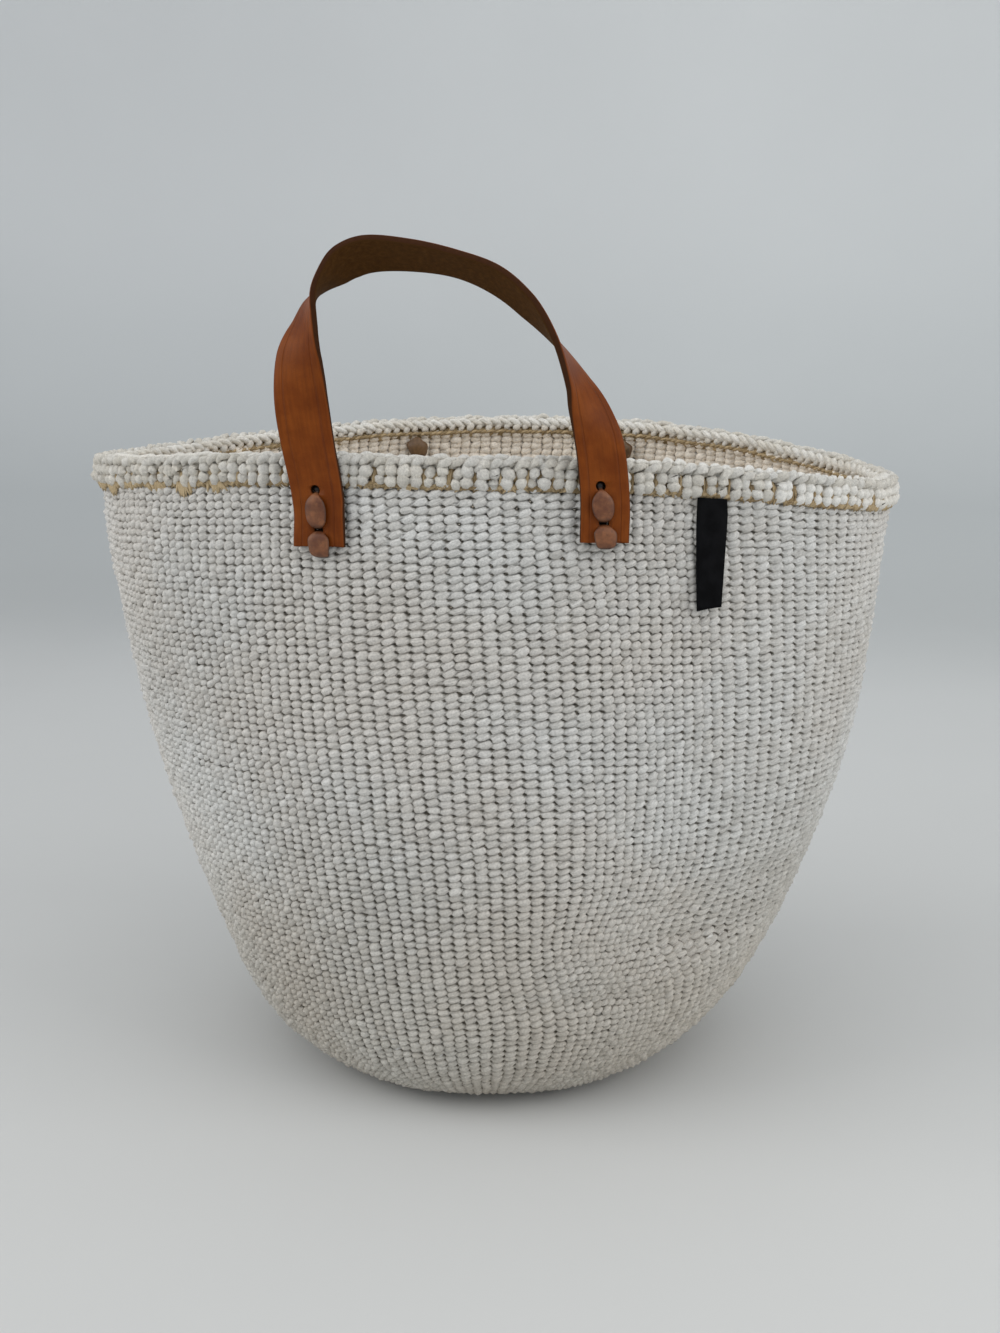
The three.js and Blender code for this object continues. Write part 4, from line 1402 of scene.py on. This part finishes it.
def build_lace(handle, sign, rear):
    """Two leaf-shaped stitches over the tab, the run inside the wall and the knot that ends it."""
    end = "left" if sign < 0 else "right"
    front = -STRAP_THICKNESS / MM / 2
    top, middle, foot = (-drop / MM for drop in end_of(sign, rear)["drops"])
    deep = WALL_THICKNESS / MM + 6.3
    knot_height = (KNOT_HEIGHT - BODY_HEIGHT) / MM
    upper = thong(f"{handle}_stitch_upper_{end}", [
        (3.6, top + 0.1, 2.2, 2.2), (1.3, top - 0.1, 2.1, 2.0), (0.4, top - 1.5, 1.1, 0.7),
        (front - 0.3, top - 2.0, 1.4, 0.6), (front - 1.1, top - 3.0, 2.6, 0.9),
        (front - 1.6, top - 5.0, 4.1, 1.1), (front - 1.7, (top + middle) / 2, 4.8, 1.1),
        (front - 1.6, middle + 4.2, 4.3, 1.1), (front - 0.9, middle + 1.9, 2.8, 1.0),
        (0.4, middle + 0.8, 1.4, 0.8), (3.4, middle + 0.4, 2.0, 1.6),
    ], sign, rear)
    lower = thong(f"{handle}_stitch_lower_{end}", [
        (3.4, middle - 0.6, 1.6, 1.2), (0.4, middle - 0.9, 1.6, 0.8),
        (front - 0.4, middle - 1.7, 3.0, 0.9), (front - 1.3, middle - 3.4, 4.7, 1.0),
        (front - 1.5, (foot + middle) / 2 - 0.8, 4.9, 1.0), (front - 1.2, foot + 1.2, 4.3, 1.0),
        (0.2, foot - 0.5, 3.2, 0.9), (4.0, foot, 1.5, 0.8),
    ], sign, rear)
    run = thong(f"{handle}_lace_run_{end}", [
        (4.0, foot, 1.5, 0.8), (deep - 0.7, foot - 0.2, 2.0, 0.9),
        (deep + 0.7, foot + 2.2, 2.2, 0.9), (deep + 0.9, middle, 2.2, 0.9),
        (deep + 1.2, knot_height - 3, 2.2, 0.9), (deep + 2.6, knot_height + 0.4, 2.0, 0.9),
    ], sign, rear, False)
    knot = knot_skin(f"{handle}_lace_knot_{end}", deep + 2.8, knot_height, sign, rear)
    finish_piece(upper, LACE, "basket", [f"{handle}_lace_{end}"])
    finish_piece(knot, KNOT_IN_SHADE, "basket")
    for made in (lower, run):
        finish_piece(made, LACE, "basket")


# Label

# Section of the ribbon: place across and side, each from -1 to 1
RIBBON_SECTION = [(u, 1) for u in (-1, -0.5, 0, 0.5, 1)] + [(u, -1) for u in (1, 0.5, 0, -0.5, -1)]
RIBBON_STEPS = 24
# Reach of the left edge at the top, how much of it is lost at the foot, and how far the foot slants
LEFT_OUT = 2.6 * MM
LEFT_LOST = 1.9 * MM
FOOT_SLANT = 1.0 * MM
# How far the label stands off the wall: all over, and more at its foot, its edges and its top
LABEL_LIFT = 0.5 * MM
FOOT_LIFT = 2.6 * MM
EDGE_LIFT = 0.8 * MM
TOP_LIFT = 1.2 * MM
# How much of the right edge turns away, in millimetres, by share of the way down
TURNED_AT = (0, 0.06, 0.15, 0.3, 0.5, 0.75, 1)
TURNED = (4.2, 3.6, 2.95, 2.9, 3.25, 3.8, 4.5)
# Thread over the label's top: places across, depths, height and radius
THREAD_ACROSS = np.linspace(-4.5, 4.5, 9) * MM
THREAD_DEPTH = np.array([-2, -0.2, 1.1, 1.2, 1.2, 1.2, 1.1, -0.2, -2]) * MM
THREAD_HEIGHT = RIM_BOTTOM - 3.6 * MM
THREAD_RADIUS = 0.35 * MM


def build_label():
    sides = len(RIBBON_SECTION)

    def place(a, t):
        u, v = RIBBON_SECTION[int(round(a * sides)) % sides]
        down = 1 - t
        left = -LABEL_WIDTH / 2 - LEFT_OUT + LEFT_LOST * down
        right = LABEL_WIDTH / 2 - np.interp(down, TURNED_AT, TURNED) * MM
        x = left + (right - left) * (u + 1) / 2
        lift = LABEL_LIFT + FOOT_LIFT * down ** 2 + EDGE_LIFT * u * u * down
        lift += TOP_LIFT * (1 - down) ** 6
        s = at_height(LABEL_TOP - LABEL_LENGTH * down + FOOT_SLANT * u * down)
        return Vector(wall(LABEL_ANGLE + x / WALL_RADIUS_THERE, s, lift + v * LABEL_THICKNESS / 2))

    def layers(a, t):
        u, _ = RIBBON_SECTION[int(round(a * sides)) % sides]
        return {"across": u * LABEL_WIDTH / 2, "along": t * LABEL_LENGTH}

    made = skin("label_ribbon", sides, RIBBON_STEPS, place, layers)
    finish_piece(made, RIBBON, "basket", ["label"])
    theta = LABEL_ANGLE + THREAD_ACROSS / WALL_RADIUS_THERE
    line = wall_line(theta, at_height(THREAD_HEIGHT), THREAD_DEPTH)
    stitch = tubes("label_thread", [strand(line, THREAD_RADIUS, 0)], False)
    finish_piece(stitch, thread_material(), "basket", ["label_stitch"])


# Setting

FLOOR_WIDTH = 8
FLOOR_FRONT = -1.9
FLOOR_BACK = 1.1
SWEEP_RADIUS = 0.7
BACKDROP_LENGTH = 5.2
ROOM_COLOUR = (0.9, 0.95, 1.0, 1)
ROOM_STRENGTH = 0.55
# Softboxes: name, place, what it points at, size, power and colour
SOFTBOXES = [
    ("overhead softbox", (0.0, -0.5, 1.9), (0, 0.1, 0), (3.2, 2.8), 13.0, (1, 0.99, 0.97)),
    ("left softbox", (-1.85, -0.65, 1.1), (0, 0, 0.2), (1.4, 1.4), 13.0, (1, 0.99, 0.98)),
    ("right softbox", (1.85, -0.65, 1.1), (0, 0, 0.2), (1.4, 1.4), 12.2, (1, 0.99, 0.98)),
]
CAMERA_LENS = 40.75
CAMERA_PLACE = (0.09675, -0.75466, 0.3801)
CAMERA_AIM = Vector((-0.1174, 0.9654, -0.2328))


def build_backdrop():
    """Floor that sweeps up into a wall behind the basket."""
    flat = FLOOR_BACK - FLOOR_FRONT
    quarter = SWEEP_RADIUS * math.pi / 2
    bm = bmesh.new()
    bmesh.ops.create_grid(bm, x_segments=8, y_segments=60, size=0.5)
    for vert in bm.verts:
        x, t = vert.co.x * FLOOR_WIDTH, (vert.co.y + 0.5) * BACKDROP_LENGTH
        if t < flat:
            vert.co = (x, FLOOR_FRONT + t, 0)
        elif t < flat + quarter:
            turn = (t - flat) / SWEEP_RADIUS
            up = SWEEP_RADIUS * (1 - math.cos(turn))
            vert.co = (x, FLOOR_BACK + SWEEP_RADIUS * math.sin(turn), up)
        else:
            vert.co = (x, FLOOR_BACK + SWEEP_RADIUS, SWEEP_RADIUS + t - flat - quarter)
    mesh = new_mesh("backdrop", bm)
    mesh.shade_smooth()
    made = add_object("backdrop", mesh)
    made.data.materials.append(paper_material())


def aim(direction):
    return direction.to_track_quat("-Z", "Y").to_euler()


def build_lights():
    world = bpy.data.worlds.new("soft room")
    bpy.context.scene.world = world
    world.use_nodes = True
    sky = world.node_tree.nodes["Background"].inputs
    sky["Color"].default_value = ROOM_COLOUR
    sky["Strength"].default_value = ROOM_STRENGTH
    for name, place, target, size, power, colour in SOFTBOXES:
        light = bpy.data.lights.new(name, "AREA")
        light.shape = "RECTANGLE"
        light.size, light.size_y = size
        light.energy = power
        light.color = colour
        made = add_object(name, light)
        made.location = place
        made.rotation_euler = aim(Vector(target) - Vector(place))


def build_camera():
    camera = bpy.data.cameras.new("photo view")
    camera.lens = CAMERA_LENS
    camera.sensor_width = 36
    camera.sensor_fit = "AUTO"
    made = add_object("photo view", camera)
    made.location = CAMERA_PLACE
    made.rotation_euler = aim(CAMERA_AIM)
    bpy.context.scene.camera = made
    bpy.context.scene.view_settings.view_transform = "Standard"


build_weave()
build_warps()
build_base_centre()
build_bundles()
build_ropes()
build_sisal()
build_front_strap()
build_rear_strap()
for handle_name, is_rear in (("front_handle", False), ("rear_handle", True)):
    for side_sign in (-1, 1):
        build_lace(handle_name, side_sign, is_rear)
build_label()
build_backdrop()
build_lights()
build_camera()
